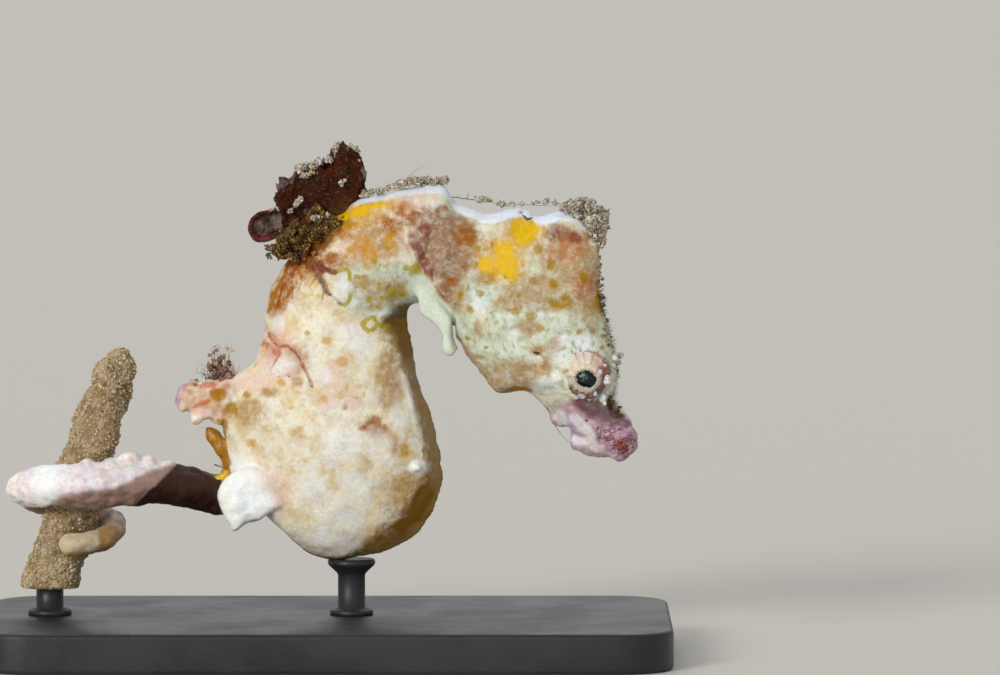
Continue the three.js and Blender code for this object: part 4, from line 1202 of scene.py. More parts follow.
def skin_material(colours):
    """The skin: mottled ground, cooler and finer on the head, under every kind of mark in turn, with
    a red network on the snout, a two-toned tail and a fine speckle over all. The keel strip, the
    hollow under the neck, creases, the snout's upper side and the tail's underside and root carry
    painted shade; the crest's edge carries a painted highlight in part."""
    material, nodes = new_material(
        "Seahorse skin", Roughness=0.5, Specular_IOR_Level=0.28, Subsurface_Weight=0.2,
        Subsurface_Radius=(1.0, 0.6, 0.45), Subsurface_Scale=0.07 * MM,
    )
    ragged = nodes.noise(0.085, 4.0, 0.58)
    fine = nodes.noise(0.03, 3.0, 0.6)
    trunk = nodes.effect(
        "Skin mottle", Light=colours.cream, Middle=colours.beige, Dark=colours.sand,
        Network_colour=colours.pearl, Blotch_size=0.4, Cell_size=0.135, Network=0.45, Darkness=0.5,
    )
    head = nodes.effect(
        "Skin mottle", Light=colours.pale, Middle=colours.cool, Dark=colours.cool_shade,
        Network_colour=colours.pale, Blotch_size=0.22, Cell_size=0.07, Network=0.42, Darkness=0.8,
    )
    warm_head = nodes.mix(0.42, head["Color"], trunk["Color"])
    base = nodes.mix(nodes.value("head"), trunk["Color"], warm_head)
    base = nodes.layer(base, "cool", head["Color"], 0.05, 0.95, 0.5, 0.92, ragged)
    tail_tone = nodes.mix(nodes.fade(ragged, 0.35, 0.65), colours.tail, colours.pearl)
    base = nodes.mix(nodes.value("tail"), base, tail_tone)
    steady = nodes.fade(fine, 0.25, 0.6, 0.84, 1.0)
    broken = nodes.times(nodes.fade(fine, 0.3, 0.62, 0.84, 1.0), nodes.fade(ragged, 0.32, 0.58, 0.6, 1.0))
    for name, tone, *spread in LAYERS:
        grain = fine if name in SMALL else ragged
        patchy = broken if name in BROKEN else steady
        base = nodes.layer(base, name, getattr(colours, tone), *spread, grain, (patchy,))
    network = nodes.effect("Red network", Mark=nodes.ragged("wine", ragged, 0.1, 0.8, 0.6))
    base = nodes.mix(network["Mask"], base, colours.scar)
    base = nodes.mix(network["Pale"], base, colours.pink)
    for name, tone, strength in TAIL_LAYERS:
        base = nodes.layer(base, name, getattr(colours, tone), 0.25, 0.85, 0.7, strength, ragged)
    vivid = nodes.add("HueSaturation", {"Saturation": 1.2, "Color": base})[0]
    height = nodes.sum("ADD", trunk["Height"], head["Height"])
    nodes.finish(vivid, height, 0.007, nodes.fade(ragged, 0.3, 0.7, 0.42, 0.6), speckled=True)
    return material


def eye_material(eyes, colours):
    """The turret: pale skin, peach above the pupil under a thin red arc with spokes, violet on the
    snout's side and below, deepened there as painted shade, brown ticks round the pupil and pearly
    knobs."""
    material, nodes = new_material("Eye turret", Specular_IOR_Level=0.5)
    fine = nodes.noise(0.02, 3.0, 0.65)
    broad = nodes.noise(0.06, 3.0, 0.6)
    base = nodes.mix(nodes.fade(broad, 0.35, 0.65), colours.cool, eyes.ground)
    for name, tone, low, high, raggedness, strength, grain in (
        ("rim", colours.pale, 0.2, 1.0, 1.2, 0.9, broad),
        ("peach", eyes.lid, 0.1, 0.9, 1.1, 0.75, broad),
        # Violet and dusk: the turret's violet-brown on its snout side and underside, partly painted shade
        # of the side away from the light.
        ("violet", eyes.bruise, 0.2, 0.8, 1.4, 0.88, broad),
        ("violet", colours.dusk_shade, 0.75, 1.15, 1.9, 0.75, fine),
        ("flush", eyes.spoke, 0.35, 1.0, 1.4, 0.35, broad),
        ("spokes", eyes.spoke, 0.3, 0.9, 1.2, 0.6, fine),
        ("arc", eyes.spoke, 0.35, 0.9, 1.6, 0.75, fine),
        ("brown", colours.umber, 0.45, 0.95, 1.5, 0.6, fine),
    ):
        base = nodes.layer(base, name, tone, low, high, raggedness, strength, grain)
    knobs = nodes.value("knobs")
    pearl_shade = [0.5 * (a + b) for a, b in zip(colours.lilac, colours.cool)]
    pearly = nodes.mix(nodes.fade(broad, 0.44, 0.66), colours.frost, pearl_shade)
    pearly = nodes.mix(nodes.fade(knobs, 0.4, 1.0, 0.4, 0.0), pearly, eyes.bruise)
    base = nodes.mix(nodes.fade(knobs, 0.0, 0.1), base, pearly)
    nodes.finish(base, fine, 0.006, nodes.fade(fine, 0.3, 0.7, 0.3, 0.5), speckled=True)
    return material


def pupil_material(eyes):
    """The pupil: near black and glossy, with a painted blue-green glint in flecks to the upper left of its
    middle.
    """
    material, nodes = new_material("Pupil", Roughness=0.22, Specular_IOR_Level=0.4)
    flecks = nodes.noise(0.028, 3.0, 0.7)
    mask = nodes.times(nodes.fade(flecks, 0.46, 0.62), nodes.value("upper"))
    nodes.finish(nodes.mix(mask, eyes.black, eyes.glint), flecks, 0.003)
    return material


def frond_material(fronds, name, tone, alpha_low):
    """Membrane of the frond and loop: dark and half clear, redder in patches and brown at its foot."""
    material, nodes = new_material(name, Roughness=0.5, Specular_IOR_Level=0.12)
    broad = nodes.noise(0.17, 4.0, 0.65)
    fine = nodes.noise(0.03, 3.0, 0.65)
    base = nodes.mix(nodes.fade(broad, 0.44, 0.64), fronds.soot, tone)
    base = nodes.mix(nodes.fade(fine, 0.52, 0.72, 0.0, 0.5), base, fronds.fold)
    earth = nodes.mix(nodes.fade(nodes.noise(0.014, 3.0, 0.7), 0.42, 0.58), fronds.soot, fronds.olive)
    base = nodes.mix(nodes.times(nodes.value("root"), 0.9), base, earth)
    solid = nodes.sum("MAXIMUM", nodes.fade(broad, 0.34, 0.62, 0.98, alpha_low), nodes.value("solid"))
    nodes.finish(base, nodes.sum("ADD", broad, fine), 0.014, None, solid)
    return material


def fin_material(fronds, colours):
    """The dorsal fin: a granular amber band at its root, then a nearly clear membrane between rays."""
    material, nodes = new_material("Dorsal fin membrane", Roughness=0.3, Specular_IOR_Level=0.45)
    fine = nodes.noise(0.035, 4.0, 0.7)
    band = nodes.ragged("band", fine, 0.35, 0.65, 0.7)
    cloud = nodes.noise(0.09, 3.0, 0.7)
    ambered = nodes.mix(nodes.fade(cloud, 0.2, 0.42), colours.umber, colours.amber)
    ambered = nodes.mix(nodes.fade(cloud, 0.45, 0.66), ambered, fronds.gold)
    ambered = nodes.mix(nodes.times(nodes.value("tongue"), 0.85), ambered, colours.yellow)
    base = nodes.mix(band, colours.beige, ambered)
    alpha = nodes.sum("MAXIMUM", nodes.fade(nodes.value("rays"), 0.0, 1.0, 0.03, 0.1), band)
    nodes.finish(base, fine, 0.005, None, alpha)
    return material


def debris_material(name, dark, middle, pale, golden):
    """Grains: each has its own tone from dark over middle to pale, and some are golden."""
    material, nodes = new_material(name, Specular_IOR_Level=0.45)
    tone = nodes.value("tone")
    base = nodes.mix(nodes.fade(tone, 0.0, 0.45), dark, middle)
    base = nodes.mix(nodes.fade(tone, 0.55, 1.0), base, pale)
    base = nodes.mix(nodes.times(nodes.value("golden"), 0.85), base, golden)
    rough = nodes.fade(tone, 0.3, 1.0, 0.8, 0.45)
    nodes.finish(base, nodes.noise(0.014, 2.0, 0.6), 0.003, rough, speckled=True)
    return material


def stalk_material(perch, colours):
    """The stalk: sandy grit in two tones with pale and dark grains, stained olive in patches."""
    material, nodes = new_material("Sandy stalk", Roughness=0.85, Specular_IOR_Level=0.3)
    grit = nodes.effect(
        "Grit", Light=perch.stalk_light, Dark=perch.stalk_dark, Pale_grain=perch.stalk_pale,
        Dark_grain=perch.stalk_shade, Grain_size=0.04, Sparsity=0.82,
    )
    stain = nodes.fade(nodes.noise(0.45, 4.0, 0.65), 0.5, 0.68, 0.0, 0.7)
    base = nodes.mix(stain, grit["Color"], perch.stalk_shade)
    base = nodes.layer(base, "knot", colours.umber, 0.3, 0.8, 0.8, 0.7, nodes.noise(0.08))
    nodes.finish(base, grit["Height"], 0.01, speckled=True)
    return material


def stand_material(perch):
    """Satin black paint: faint lighter cloudiness and fine texture."""
    material, nodes = new_material("Stand paint", Specular_IOR_Level=0.4)
    cloud = nodes.noise(0.9)
    lighter = tuple(min(1.0, c * 1.9 + 0.004) for c in perch.stand)
    base = nodes.mix(nodes.fade(cloud, 0.35, 0.65, 0.0, 0.5), perch.stand, lighter)
    nodes.finish(base, nodes.noise(0.03, 2.0), 0.003, nodes.fade(cloud, 0.3, 0.7, 0.38, 0.55))
    return material


# ---- Pieces

TAIL_NODES = ("tail_root", "tail_bar", "tail_bend", "tail_back_wrap", "tail_side_wrap", "tail_tip")
FLESH_NODES = (
    "snout", "head", "neck", "trunk_front", "trunk_rear", "coronet", "pectoral_fin_left",
    "pectoral_fin_right", "back_lappet", "tail_lappet", *TAIL_NODES,
)


def crest_raised(places):
    """Lifts the body's upper edge onto the crest's swells and its notch: each place near the edge
    moves up by the crest's height less the plain edge's height, easing off below."""
    ribs = list(RIBS.values())
    edge = through([rib[0] for rib in ribs], np.linspace(0, 1, 500))
    edge = edge[np.argsort(edge[:, 0])]
    edge = edge[edge[:, 1] > 4.9]
    crest = through(CREST, np.linspace(0, 1, 300))
    x, _, z = places.T
    plain = np.interp(x, edge[:, 0], edge[:, 1])
    lift = np.interp(x, crest[:, 0], crest[:, 1]) - plain
    near = smooth_step(z - plain, -0.35, -0.02)
    inside = smooth_step(x, 0.15, 0.3) * (1 - smooth_step(x, 3.1, 3.25))
    raised = places.copy()
    raised[:, 2] += lift * near * inside
    return raised


# Bulges and hollows of the skin: an oval on the side view, and how far it stands out.
BULGES = (
    ((2.15, 4.05, 0.58, 0.6), 0.07), ((1.64, 4.3, 0.1, 0.42, 12), -0.035),
    ((1.72, 4.75, 0.3, 0.14, 60), -0.02), ((3.19, 3.52, 0.42, 0.42), 0.14),
    ((2.72, 3.47, 0.17, 0.12), 0.07), ((2.95, 4.42, 0.3, 0.05, 5), -0.03), ((0.3, 2.4, 0.75, 0.8), 0.03),
    ((1.12, 2.36, 0.07, 0.05), 0.02), ((3.0, 2.82, 0.05, 0.05), -0.05), ((1.04, 3.2, 0.07, 0.4, 15), 0.012),
    ((0.68, 2.78, 0.12, 0.2, 40), -0.03), ((-0.6, 4.42, 0.1, 0.4, 15), 0.03),
    ((0.5, 5.2, 0.4, 0.2, 30), -0.02), ((1.26, 5.05, 0.08, 0.38, -20), -0.045),
    ((1.48, 5.0, 0.08, 0.3, -15), 0.03), ((1.0, 5.66, 0.6, 0.06, 5), 0.03),
    ((2.05, 5.42, 0.5, 0.06), 0.035), ((2.95, 5.42, 0.26, 0.06), 0.04), ((3.0, 5.24, 0.24, 0.07), -0.045),
    ((-0.5, 3.63, 0.16, 0.09, 20), 0.035), ((-0.58, 4.15, 0.08, 0.12), 0.03),
    ((0.55, 4.14, 0.05, 0.05), 0.02), ((0.9, 4.14, 0.12, 0.16, 45), -0.05), ((2.9, 5.02, 0.16, 0.12), 0.02),
    ((-1.0, 3.2, 0.1, 0.08), 0.03), ((-1.26, 3.42, 0.1, 0.05, 20), 0.03),
)

# Folds: a line on the side view, its half width, and how deep it lies beside a raised lip.
FOLDS = (
    (
        [
            (-0.8, 4.17), (-0.73, 4.02), (-0.59, 3.87), (-0.44, 3.82), (-0.3, 3.64), (-0.21, 3.46),
            (-0.18, 3.32),
        ],
        0.03, 0.028,
    ),
    ([(-0.62, 3.76), (-0.7, 3.58), (-0.59, 3.5), (-0.45, 3.5), (-0.38, 3.4)], 0.024, 0.02),
    ([(1.6, 4.36), (1.58, 4.1), (1.6, 3.88)], 0.03, 0.05),
    ([(1.64, 3.8), (1.86, 3.54), (2.12, 3.28)], 0.02, 0.012),
    ([(-0.22, 4.86), (-0.1, 4.72), (0.03, 4.54), (0.2, 4.38)], 0.022, 0.016),
    ([(0.05, 4.8), (0.25, 4.82), (0.3, 4.6), (0.24, 4.38)], 0.022, -0.01),
    ([(3.06, 3.14), (3.28, 3.0), (3.5, 2.9), (3.66, 2.88)], 0.035, 0.03),
    ([(0.94, 3.54), (1.03, 3.25), (1.1, 2.92)], 0.03, -0.006),
    ([(0.62, 2.1), (0.86, 2.02), (1.08, 2.1)], 0.05, 0.008),
    ([(2.68, 3.25), (2.8, 3.26), (2.92, 3.3)], 0.02, 0.012),
)


def skin_relief(places, view, tail):
    """How far each place of the skin moves outwards, in millimetres: bulges, folds, pores and grain."""
    x, z = view.T
    snout = smooth_step(x, 2.9, 3.2) * (1 - smooth_step(z, 3.0, 3.2))
    spur = np.exp(-(oval(view, -1.6, 3.25, 0.42, 0.3) ** 2))
    lobe = np.exp(-(oval(view, -1.05, 1.95, 0.35, 0.42) ** 2))
    height = np.zeros(len(places))
    for where, grain in (
        (1.0, ((0.02, 0.42, 3), (0.01, 0.16, 4), (0.004, 0.07, 5))),
        (smooth_step(x, 1.6, 2.2), ((0.005, 0.05, 6),)),
        (snout, ((0.022, 0.12, 7), (0.012, 0.055, 8))),
        (spur, ((0.035, 0.12, 9), (0.028, 0.06, 10))),
        (tail, ((0.02, 0.13, 13), (0.01, 0.06, 14))),
        (lobe, ((0.03, 0.16, 17), (0.014, 0.07, 18))),
    ):
        height += where * sum(amount * lattice_noise(places, cell, seed) for amount, cell, seed in grain)
    for values, amount in BULGES:
        height += amount * np.exp(-(oval(view, *values) ** 2) * 1.4)
    for points, width, depth in FOLDS:
        height -= depth * np.exp(-stroke(view, points, width) ** 2)
        shifted = [(px + 1.6 * width, pz + 1.6 * width) for px, pz in points]
        height += 0.5 * depth * np.exp(-stroke(view, shifted, width * 1.4) ** 2)
    for values in OVALS["pore"]:
        height -= 0.02 * np.exp(-oval(view, *values) ** 2)
    mouth = np.linalg.norm(places - np.array([3.82, 0.0, 2.7]), axis=1)
    return height - 0.1 * np.exp(-((mouth / 0.075) ** 2))


def nearest_on(flat, line, breadth=1.0, block=8000):
    """For each place, how far it is from the nearest place of a line, in breadths, and which that is."""
    away = np.empty(len(flat))
    which = np.empty(len(flat), dtype=int)
    for start in range(0, len(flat), block):
        part = flat[start:start + block]
        distance = np.linalg.norm(part[:, None, :] - line[None, :, :], axis=2) / breadth
        which[start:start + block] = distance.argmin(axis=1)
        away[start:start + block] = distance.min(axis=1)
    return away, which


def keel_mark(places):
    """How deep each place lies in the keel strip: 1 on the belly's edge, 0.6 at the strip's breadth.
    The strip starts behind the throat. Its brown is partly painted shade of the down-facing facet."""
    ribs = list(RIBS.values())
    first = list(RIBS).index("neck_back")
    t = np.linspace(first / (len(ribs) - 1), 1, 220)
    edge = through([rib[1] for rib in ribs], t)
    breadth = np.maximum(through([[rib[4]] for rib in ribs], t)[:, 0], 0.01)
    away, _ = nearest_on(places[:, [0, 2]], edge, breadth[None, :])
    return np.clip(1 - 0.4 * away, 0, 1) * (1 - smooth_step(places[:, 2], 4.15, 4.35))


def crest_mark(view):
    """1 on the crest's bright upper edge, fading below it: the crest's own pale edge, brightened as a
    painted highlight along the top. The bright band is narrow over the shoulder and broad behind the
    head and on the crown."""
    crest = through(CREST, np.linspace(0, 1, 300))
    below = np.interp(view[:, 0], crest[:, 0], crest[:, 1]) - view[:, 1]
    knots = (0.2, 0.75, 1.0, 1.45, 1.65, 2.0, 2.5, 2.64, 2.8, 3.1, 3.3)
    widths = (0.02, 0.03, 0.06, 0.08, 0.08, 0.09, 0.06, 0.03, 0.08, 0.1, 0.08)
    broad = np.interp(view[:, 0], knots, widths)
    band = 1 - smooth_step(below, broad, broad + 0.12)
    return band * smooth_step(view[:, 0], 0.2, 0.45) * (1 - smooth_step(view[:, 0], 3.2, 3.4))


def tail_marks(places, path):
    """Which part of the tail each place is on, as named masks: the whole tail, its bright bend, its
    underside and its turn behind the stalk, both painted shade, its tip, the tip's edge, whose
    bottom is painted shade, and the dark lead between hip and perch, partly painted shade."""
    x, y, z = places.T
    near = (x < -0.9) & (z < 2.75)
    away = np.full(len(places), 9.0)
    t = np.zeros(len(places))
    away[near], which = nearest_on(places[near], path)
    t[near] = which / (len(path) - 1)
    on = (1 - smooth_step(away, 0.34, 0.42)) * smooth_step(-x, 1.2, 1.4)
    # Partly painted shade: the lead between hip and bar is painted dark.
    lead = on * smooth_step(x - 1.1 * (z - 2.36), -2.02, -1.86) * (1 - smooth_step(t, 0.3, 0.36))
    low = np.interp(x, (-3.9, -3.4, -3.0, -2.6, -2.25, -1.95), (1.84, 2.0, 2.06, 2.12, 2.3, 2.4))
    # Painted shade: darker towards the tail's underside.
    under = on * (1 - smooth_step(z + 0.07 * y, low - 0.12, low + 0.12))
    under = under * smooth_step(x, -3.6, -3.2) * (1 - smooth_step(t, 0.4, 0.5))
    # Painted shade on the tail's turn behind the stalk.
    back = on * smooth_step(t, 0.5, 0.6) * (1 - smooth_step(t, 0.8, 0.88)) * 0.7
    # tip_rim covers the tip's right end, whose amber is its own, and its bottom, where the amber is painted
    # shade.
    tip_rim = np.maximum(smooth_step(x, -2.95, -2.75), 1 - smooth_step(z, 1.3, 1.42))
    return {
        "tail": on,
        "bright": on * smooth_step(-x, 3.05, 3.55) * (1 - smooth_step(t, 0.4, 0.5)),
        "under": np.maximum(under, back),
        "tip": on * smooth_step(t, 0.84, 0.9),
        "tip_edge": on * smooth_step(t, 0.8, 0.86) * tip_rim,
        "lead": lead,
    }


# Lumps that the skin takes in: place, radius and stretch. First the scallops on the tail's bar and
# bend, then the spur on the back, the brow and mouth, and one spine on each side of the belly.
KNOBS = (
    (-2.96, -0.62, 2.39, 0.12), (-2.68, -0.54, 2.41, 0.13), (-2.45, -0.47, 2.47, 0.15),
    (-2.22, -0.4, 2.4, 0.14), (-2.04, -0.34, 2.33, 0.15), (-1.96, -0.33, 2.37, 0.1),
    (-3.78, -0.3, 2.12, 0.22), (-3.62, -0.45, 2.14, 0.24), (-1.72, -0.02, 3.2, 0.15),
    (-1.86, -0.06, 3.22, 0.07), (-1.82, -0.1, 3.12, 0.07), (-1.8, 0.0, 3.33, 0.07),
    (-1.68, -0.02, 3.35, 0.09), (-1.74, -0.14, 3.28, 0.06), (-1.8, -0.13, 3.2, 0.05),
    (-1.58, -0.06, 3.2, 0.16), (-1.4, -0.04, 3.16, 0.17), (-1.74, -0.14, 3.16, 0.07),
    (-1.66, -0.15, 3.25, 0.06), (-1.54, -0.14, 3.03, 0.09, (1.8, 1.0, 0.75)), (-1.63, -0.17, 2.97, 0.075),
    (-1.36, -0.08, 3.0, 0.12), (2.89, 0.0, 2.99, 0.1, (0.9, 1.4, 1.0)),
    (2.95, 0.0, 2.93, 0.07, (0.9, 1.4, 0.9)), (3.15, 0.0, 2.71, 0.11, (0.8, 1.4, 1.0)),
    (3.13, 0.0, 2.66, 0.065, (0.8, 1.4, 1.0)), (3.25, 0.0, 2.68, 0.12, (1.2, 1.4, 1.0)),
    (3.36, 0.0, 2.62, 0.1, (1.2, 1.4, 0.9)), (3.72, 0.0, 2.74, 0.22, (0.98, 1.1, 1.05)),
    (3.67, 0.0, 2.57, 0.11, (1.0, 1.3, 1.0)), (1.12, -0.38, 2.37, 0.04, (1.3, 1.0, 0.8)),
    (1.12, 0.38, 2.37, 0.04, (1.3, 1.0, 0.8)),
)


class SEAHORSE_OT_skin(bpy.types.Operator):
    """Makes the seahorse's one skin over body, snout, tail and lappets, with its folds and marks"""

    bl_idname = "seahorse.skin"
    bl_label = "Skin"

    def execute(self, context):
        shape = context.scene.seahorse_shape
        stalk_radius = context.scene.seahorse_perch.stalk_radius / MM
        body, faces = body_surface(shape)
        parts = [(crest_raised(body), faces), tail_surface(shape, stalk_radius)]
        for outline, y, half_thickness in (
            ("coronet", 0.0, 0.16), ("back_lappet", 0.0, 0.19), ("tail_lappet", -0.38, 0.15),
            ("blade", 0.24, 0.06), ("blade", -0.24, 0.06),
        ):
            parts.append(pillow(OUTLINES[outline], y, half_thickness))
        parts += [knob_surface(*knob) for knob in KNOBS]
        mesh = welded("seahorse_skin", joined(parts), shape.weld_size / MM, shape.weld_rounds)
        places = get_places(mesh)
        tail = tail_marks(places, tail_path(shape, stalk_radius))
        bare = 1 - tail["tail"]
        relief = skin_relief(places, side_view(places), tail["tail"])
        places = places + get_normals(mesh) * relief[:, None]
        view = side_view(places)
        wandered = view + 0.016 * wander(places, 0.1, (11, 12))
        for name in {**OVALS, **STROKES}:
            shown = mark(wandered, OVALS.get(name, ()), STROKES.get(name, ()))
            set_values(mesh, {name: shown * bare})
        set_values(mesh, tail)
        from_strip, _ = nearest_on(view, through(STRIP, np.linspace(0, 1, 60)))
        outer = np.abs(places[:, 1]) > 0.1
        half_strip = 0.13
        rim = np.exp(-(((from_strip - half_strip) / 0.022) ** 2))
        set_values(mesh, {
            "strip": np.clip(1.5 - 0.75 * from_strip / half_strip, 0, 1) * outer,
            "edge": rim * (view[:, 1] < 4.0) * outer,
            "keel": keel_mark(places) * bare,
            "crest": crest_mark(view),
            "head": smooth_step(view[:, 0] + 0.25 * view[:, 1], 2.45, 2.85),
        })
        set_places(mesh, head_turned(places) * MM)
        material = skin_material(context.scene.seahorse_colours)
        new_piece("seahorse_skin", mesh, material, FLESH_NODES)
        return {"FINISHED"}


# Pearly knobs on and beside a turret: place from its middle towards the snout and up, radius,
# stretch upwards and brightness.
EYE_KNOBS = (
    (0.284, -0.065, 0.052, 1.2, 1.0), (0.324, 0.03, 0.028, 1.2, 0.8), (0.204, -0.29, 0.042, 1.5, 1.0),
    (0.23, -0.365, 0.022, 1.2, 1.0), (-0.02, -0.26, 0.05, 0.85, 0.6), (0.14, -0.234, 0.032, 1.1, 0.8),
    (0.307, -0.15, 0.022, 1.0, 0.9), (0.213, 0.04, 0.034, 1.0, 0.4), (0.362, 0.2, 0.038, 1.2, 0.6),
    (0.345, 0.11, 0.034, 1.1, 0.5), (-0.1, -0.29, 0.032, 0.9, 0.4), (0.06, -0.3, 0.026, 1.3, 0.5),
    (0.262, 0.115, 0.026, 1.0, 0.4), (0.262, -0.225, 0.026, 1.2, 0.7),
)


def eye_surface(side, eyes, rows=90, around=220):
    """One turret: θ goes round it and α runs from the middle out to the buried rim. The place is
    centre + R·sin(α)·(cosθ, sinθ) along the head + depth·cos(α) outwards, with folds lifted and the
    pupil's seat sunk. Returns the rings and the masks that the material reads."""
    alpha, theta = np.meshgrid(np.linspace(0.03, math.radians(104), rows), full_turn(around), indexing="ij")
    radius = eyes.radius / MM
    depth = eyes.depth / MM
    share = np.sin(alpha)
    share = np.where(alpha > math.pi / 2, 2 - share, share)
    flat_x, flat_z = (radius * np.sin(alpha) * turned for turned in (np.cos(theta), np.sin(theta)))
    from_x = flat_x - PUPIL[0]
    from_z = flat_z - PUPIL[1]
    away = np.hypot(from_x, from_z * 1.15) / (eyes.pupil / MM)
    turn = np.arctan2(from_z, from_x)
    wander = 0.35 * np.sin(3 * turn + 0.7) + 0.25 * np.sin(7 * turn)
    spoke = (0.5 + 0.5 * np.cos(eyes.spokes * turn + 2.5 * wander)) ** 5
    upper = smooth_step(np.sin(turn), 0.0, 0.45)
    spoke_zone = smooth_step(away, 1.0, 1.8) * (1 - smooth_step(share, 1.0, 1.05))
    tick = (0.5 + 0.5 * np.cos(21 * turn + 5 * wander)) ** 3
    tick_zone = np.exp(-(((away - 1.16) / 0.16) ** 2))
    flat = np.stack([flat_x, 0 * flat_x, flat_z], axis=2).reshape(-1, 3)
    lumps = 0.02 * lattice_noise(flat, 0.09, 81) + 0.012 * lattice_noise(flat, 0.04, 82)
    lumps = lumps.reshape(share.shape)
    arc = np.exp(-(((share - 0.95) / 0.045) ** 2)) * smooth_step(np.sin(theta - 0.25), -0.1, 0.35)
    lumps = lumps * smooth_step(away, 1.1, 1.8) * (1 + 1.2 * smooth_step(share, 0.75, 1.0))
    lift = 0.008 * spoke * spoke_zone * upper + 0.016 * arc + lumps
    lift = lift - 0.03 * (1 - smooth_step(away, 0.9, 1.15))
    wide = 1.0 + 0.015 * np.sin(3 * theta) + 0.012 * np.sin(5 * theta + 1)
    y = side * (depth * np.cos(alpha) + lift)
    rings = np.stack([flat_x * wide, y, flat_z * wide], axis=2) + np.array([EYE[0], side * EYE[1], EYE[2]])
    right = smooth_step(np.cos(turn + 0.25), 0.25, 0.8)
    below = smooth_step(-np.sin(turn + 0.15), 0.1, 0.7)
    outer = smooth_step(away, 1.1, 1.7)
    masks = {
        "spokes": spoke * spoke_zone * upper * (0.45 + 0.55 * smooth_step(share, 0.6, 0.9)),
        "arc": arc,
        "peach": upper * smooth_step(away, 1.0, 1.5) * (1 - smooth_step(share, 0.92, 1.02)),
        # Partly painted shade: the side towards the snout and the underside, away from the light.
        "violet": np.maximum(right, 0.75 * below) * outer,
        "flush": smooth_step(np.cos(turn - 0.75), 0.75, 0.98) * outer,
        "brown": np.maximum(tick * tick_zone, below * outer * (0.5 + 0.5 * np.cos(17 * turn)) ** 2),
        "rim": smooth_step(share, 0.7, 0.98) * (1 - right) * (1 - 0.8 * below),
    }
    return rings, masks


def dome(across, up, eyes):
    """How far a turret's plain surface stands out at a place given from its middle."""
    share = np.hypot(across, up) / (eyes.radius / MM)
    return eyes.depth / MM * np.sqrt(np.clip(1 - share**2, 0, 1))


def eye_knobs(side, eyes, skin):
    """A turret's knobs: dented balls that sit on the turret or on the skin, whichever stands out more.
    The skin's places are given as they are before the head's swing."""
    knobs = []
    for k, (across, up, radius, tall, shine) in enumerate(EYE_KNOBS):
        x = EYE[0] + across
        z = EYE[2] + up
        near = (np.hypot(skin[:, 0] - x, skin[:, 2] - z) < 0.03) & (side * skin[:, 1] > 0)
        out = EYE[1] + dome(across, up, eyes) - 0.08 * (math.hypot(across, up) > eyes.radius / MM)
        if near.any():
            out = max(out, np.abs(skin[near, 1]).max())
        places, faces = knob_surface(x, side * out, z, radius, (1.0, 0.9, tall))
        dents = wander(places, 0.045, (90 + k, 110 + k, 130 + k))
        knobs.append(((places + 0.22 * radius * dents, faces), shine))
    return knobs


def pupil_surface(side, eyes, rows=24, around=72):
    """The pupil: a shallow dome that follows the turret, longer than it is high, with a ragged rim."""
    r, theta = np.meshgrid(np.linspace(0.02, 1, rows), full_turn(around), indexing="ij")
    radius = eyes.pupil / MM
    edge = 1 + 0.05 * np.sin(5 * theta + 1) + 0.04 * np.sin(9 * theta) + 0.03 * np.sin(14 * theta + 2)
    x = PUPIL[0] + radius * r * np.cos(theta) * edge
    z = PUPIL[1] + radius * r * (0.83 * np.sin(theta) - 0.1 * np.cos(theta)) * edge
    y = side * (dome(x, z, eyes) - 0.035 + 0.05 * np.sqrt(1 - 0.98 * r**2))
    rings = np.stack([x, y, z], axis=2)
    back = rings[-1:].copy()
    back[:, :, 1] -= side * 0.03
    return np.concatenate([rings, back]) + np.array([EYE[0], side * EYE[1], EYE[2]])


def over_shell(values):
    """A grid of numbers as one for each vertex of the closed shell over the same grid."""
    return np.concatenate([values.ravel(), [values[0].mean(), values[-1].mean()]])


class SEAHORSE_OT_eyes(bpy.types.Operator):
    """Makes both eye turrets, with spokes and knobs, and their glossy pupils"""

    bl_idname = "seahorse.eyes"
    bl_label = "Eyes"

    def execute(self, context):
        eyes = context.scene.seahorse_eyes
        turret = eye_material(eyes, context.scene.seahorse_colours)
        pupil = pupil_material(eyes)
        skin = head_straightened(get_places(bpy.data.objects["seahorse_skin"].data) / MM)
        for name, side in (("left", 1), ("right", -1)):
            rings, masks = eye_surface(side, eyes)
            shell = closed_shell(rings)
            knobs = eye_knobs(side, eyes, skin)
            surface, faces = joined([shell] + [knob for knob, _ in knobs])
            bare = np.zeros(len(surface) - len(shell[0]))
            shine = np.concatenate([np.full(len(places), shine) for (places, _), shine in knobs])
            values = {key: np.concatenate([over_shell(value), bare]) for key, value in masks.items()}
            values["knobs"] = np.concatenate([np.zeros(len(shell[0])), shine])
            turned = (head_turned(surface), faces)
            add_piece("eye_turret_" + name, turned, values, turret, "eye", "eye_" + name)
            places, faces = closed_shell(pupil_surface(side, eyes))
            x, _, z = places.T
            # Where the painted glint lies in the pupil.
            away = np.hypot(x - EYE[0] - PUPIL[0] + 0.035, z - EYE[2] - PUPIL[1] - 0.03)
            upper = {"upper": 1 - smooth_step(away, 0.03, 0.075)}
            add_piece("eye_pupil_" + name, (head_turned(places), faces), upper, pupil, "eye")
        return {"FINISHED"}


def sheet_shell(flat, y, half):
    """A thin closed sheet over flat places (along, out, 2): its two faces lie half a thickness to each
    side of y and meet at the outer edge."""
    front = np.stack([flat[:, :, 0], y - half, flat[:, :, 1]], axis=2)
    rear = np.stack([flat[:, :, 0], y + half, flat[:, :, 1]], axis=2)
    return closed_shell(np.concatenate([front, rear[:, ::-1]], axis=1))


def over_sheet(values):
    """A grid of numbers (along, out) as one for each vertex of the closed sheet over that grid."""
    return over_shell(np.concatenate([values, values[:, ::-1]], axis=1))


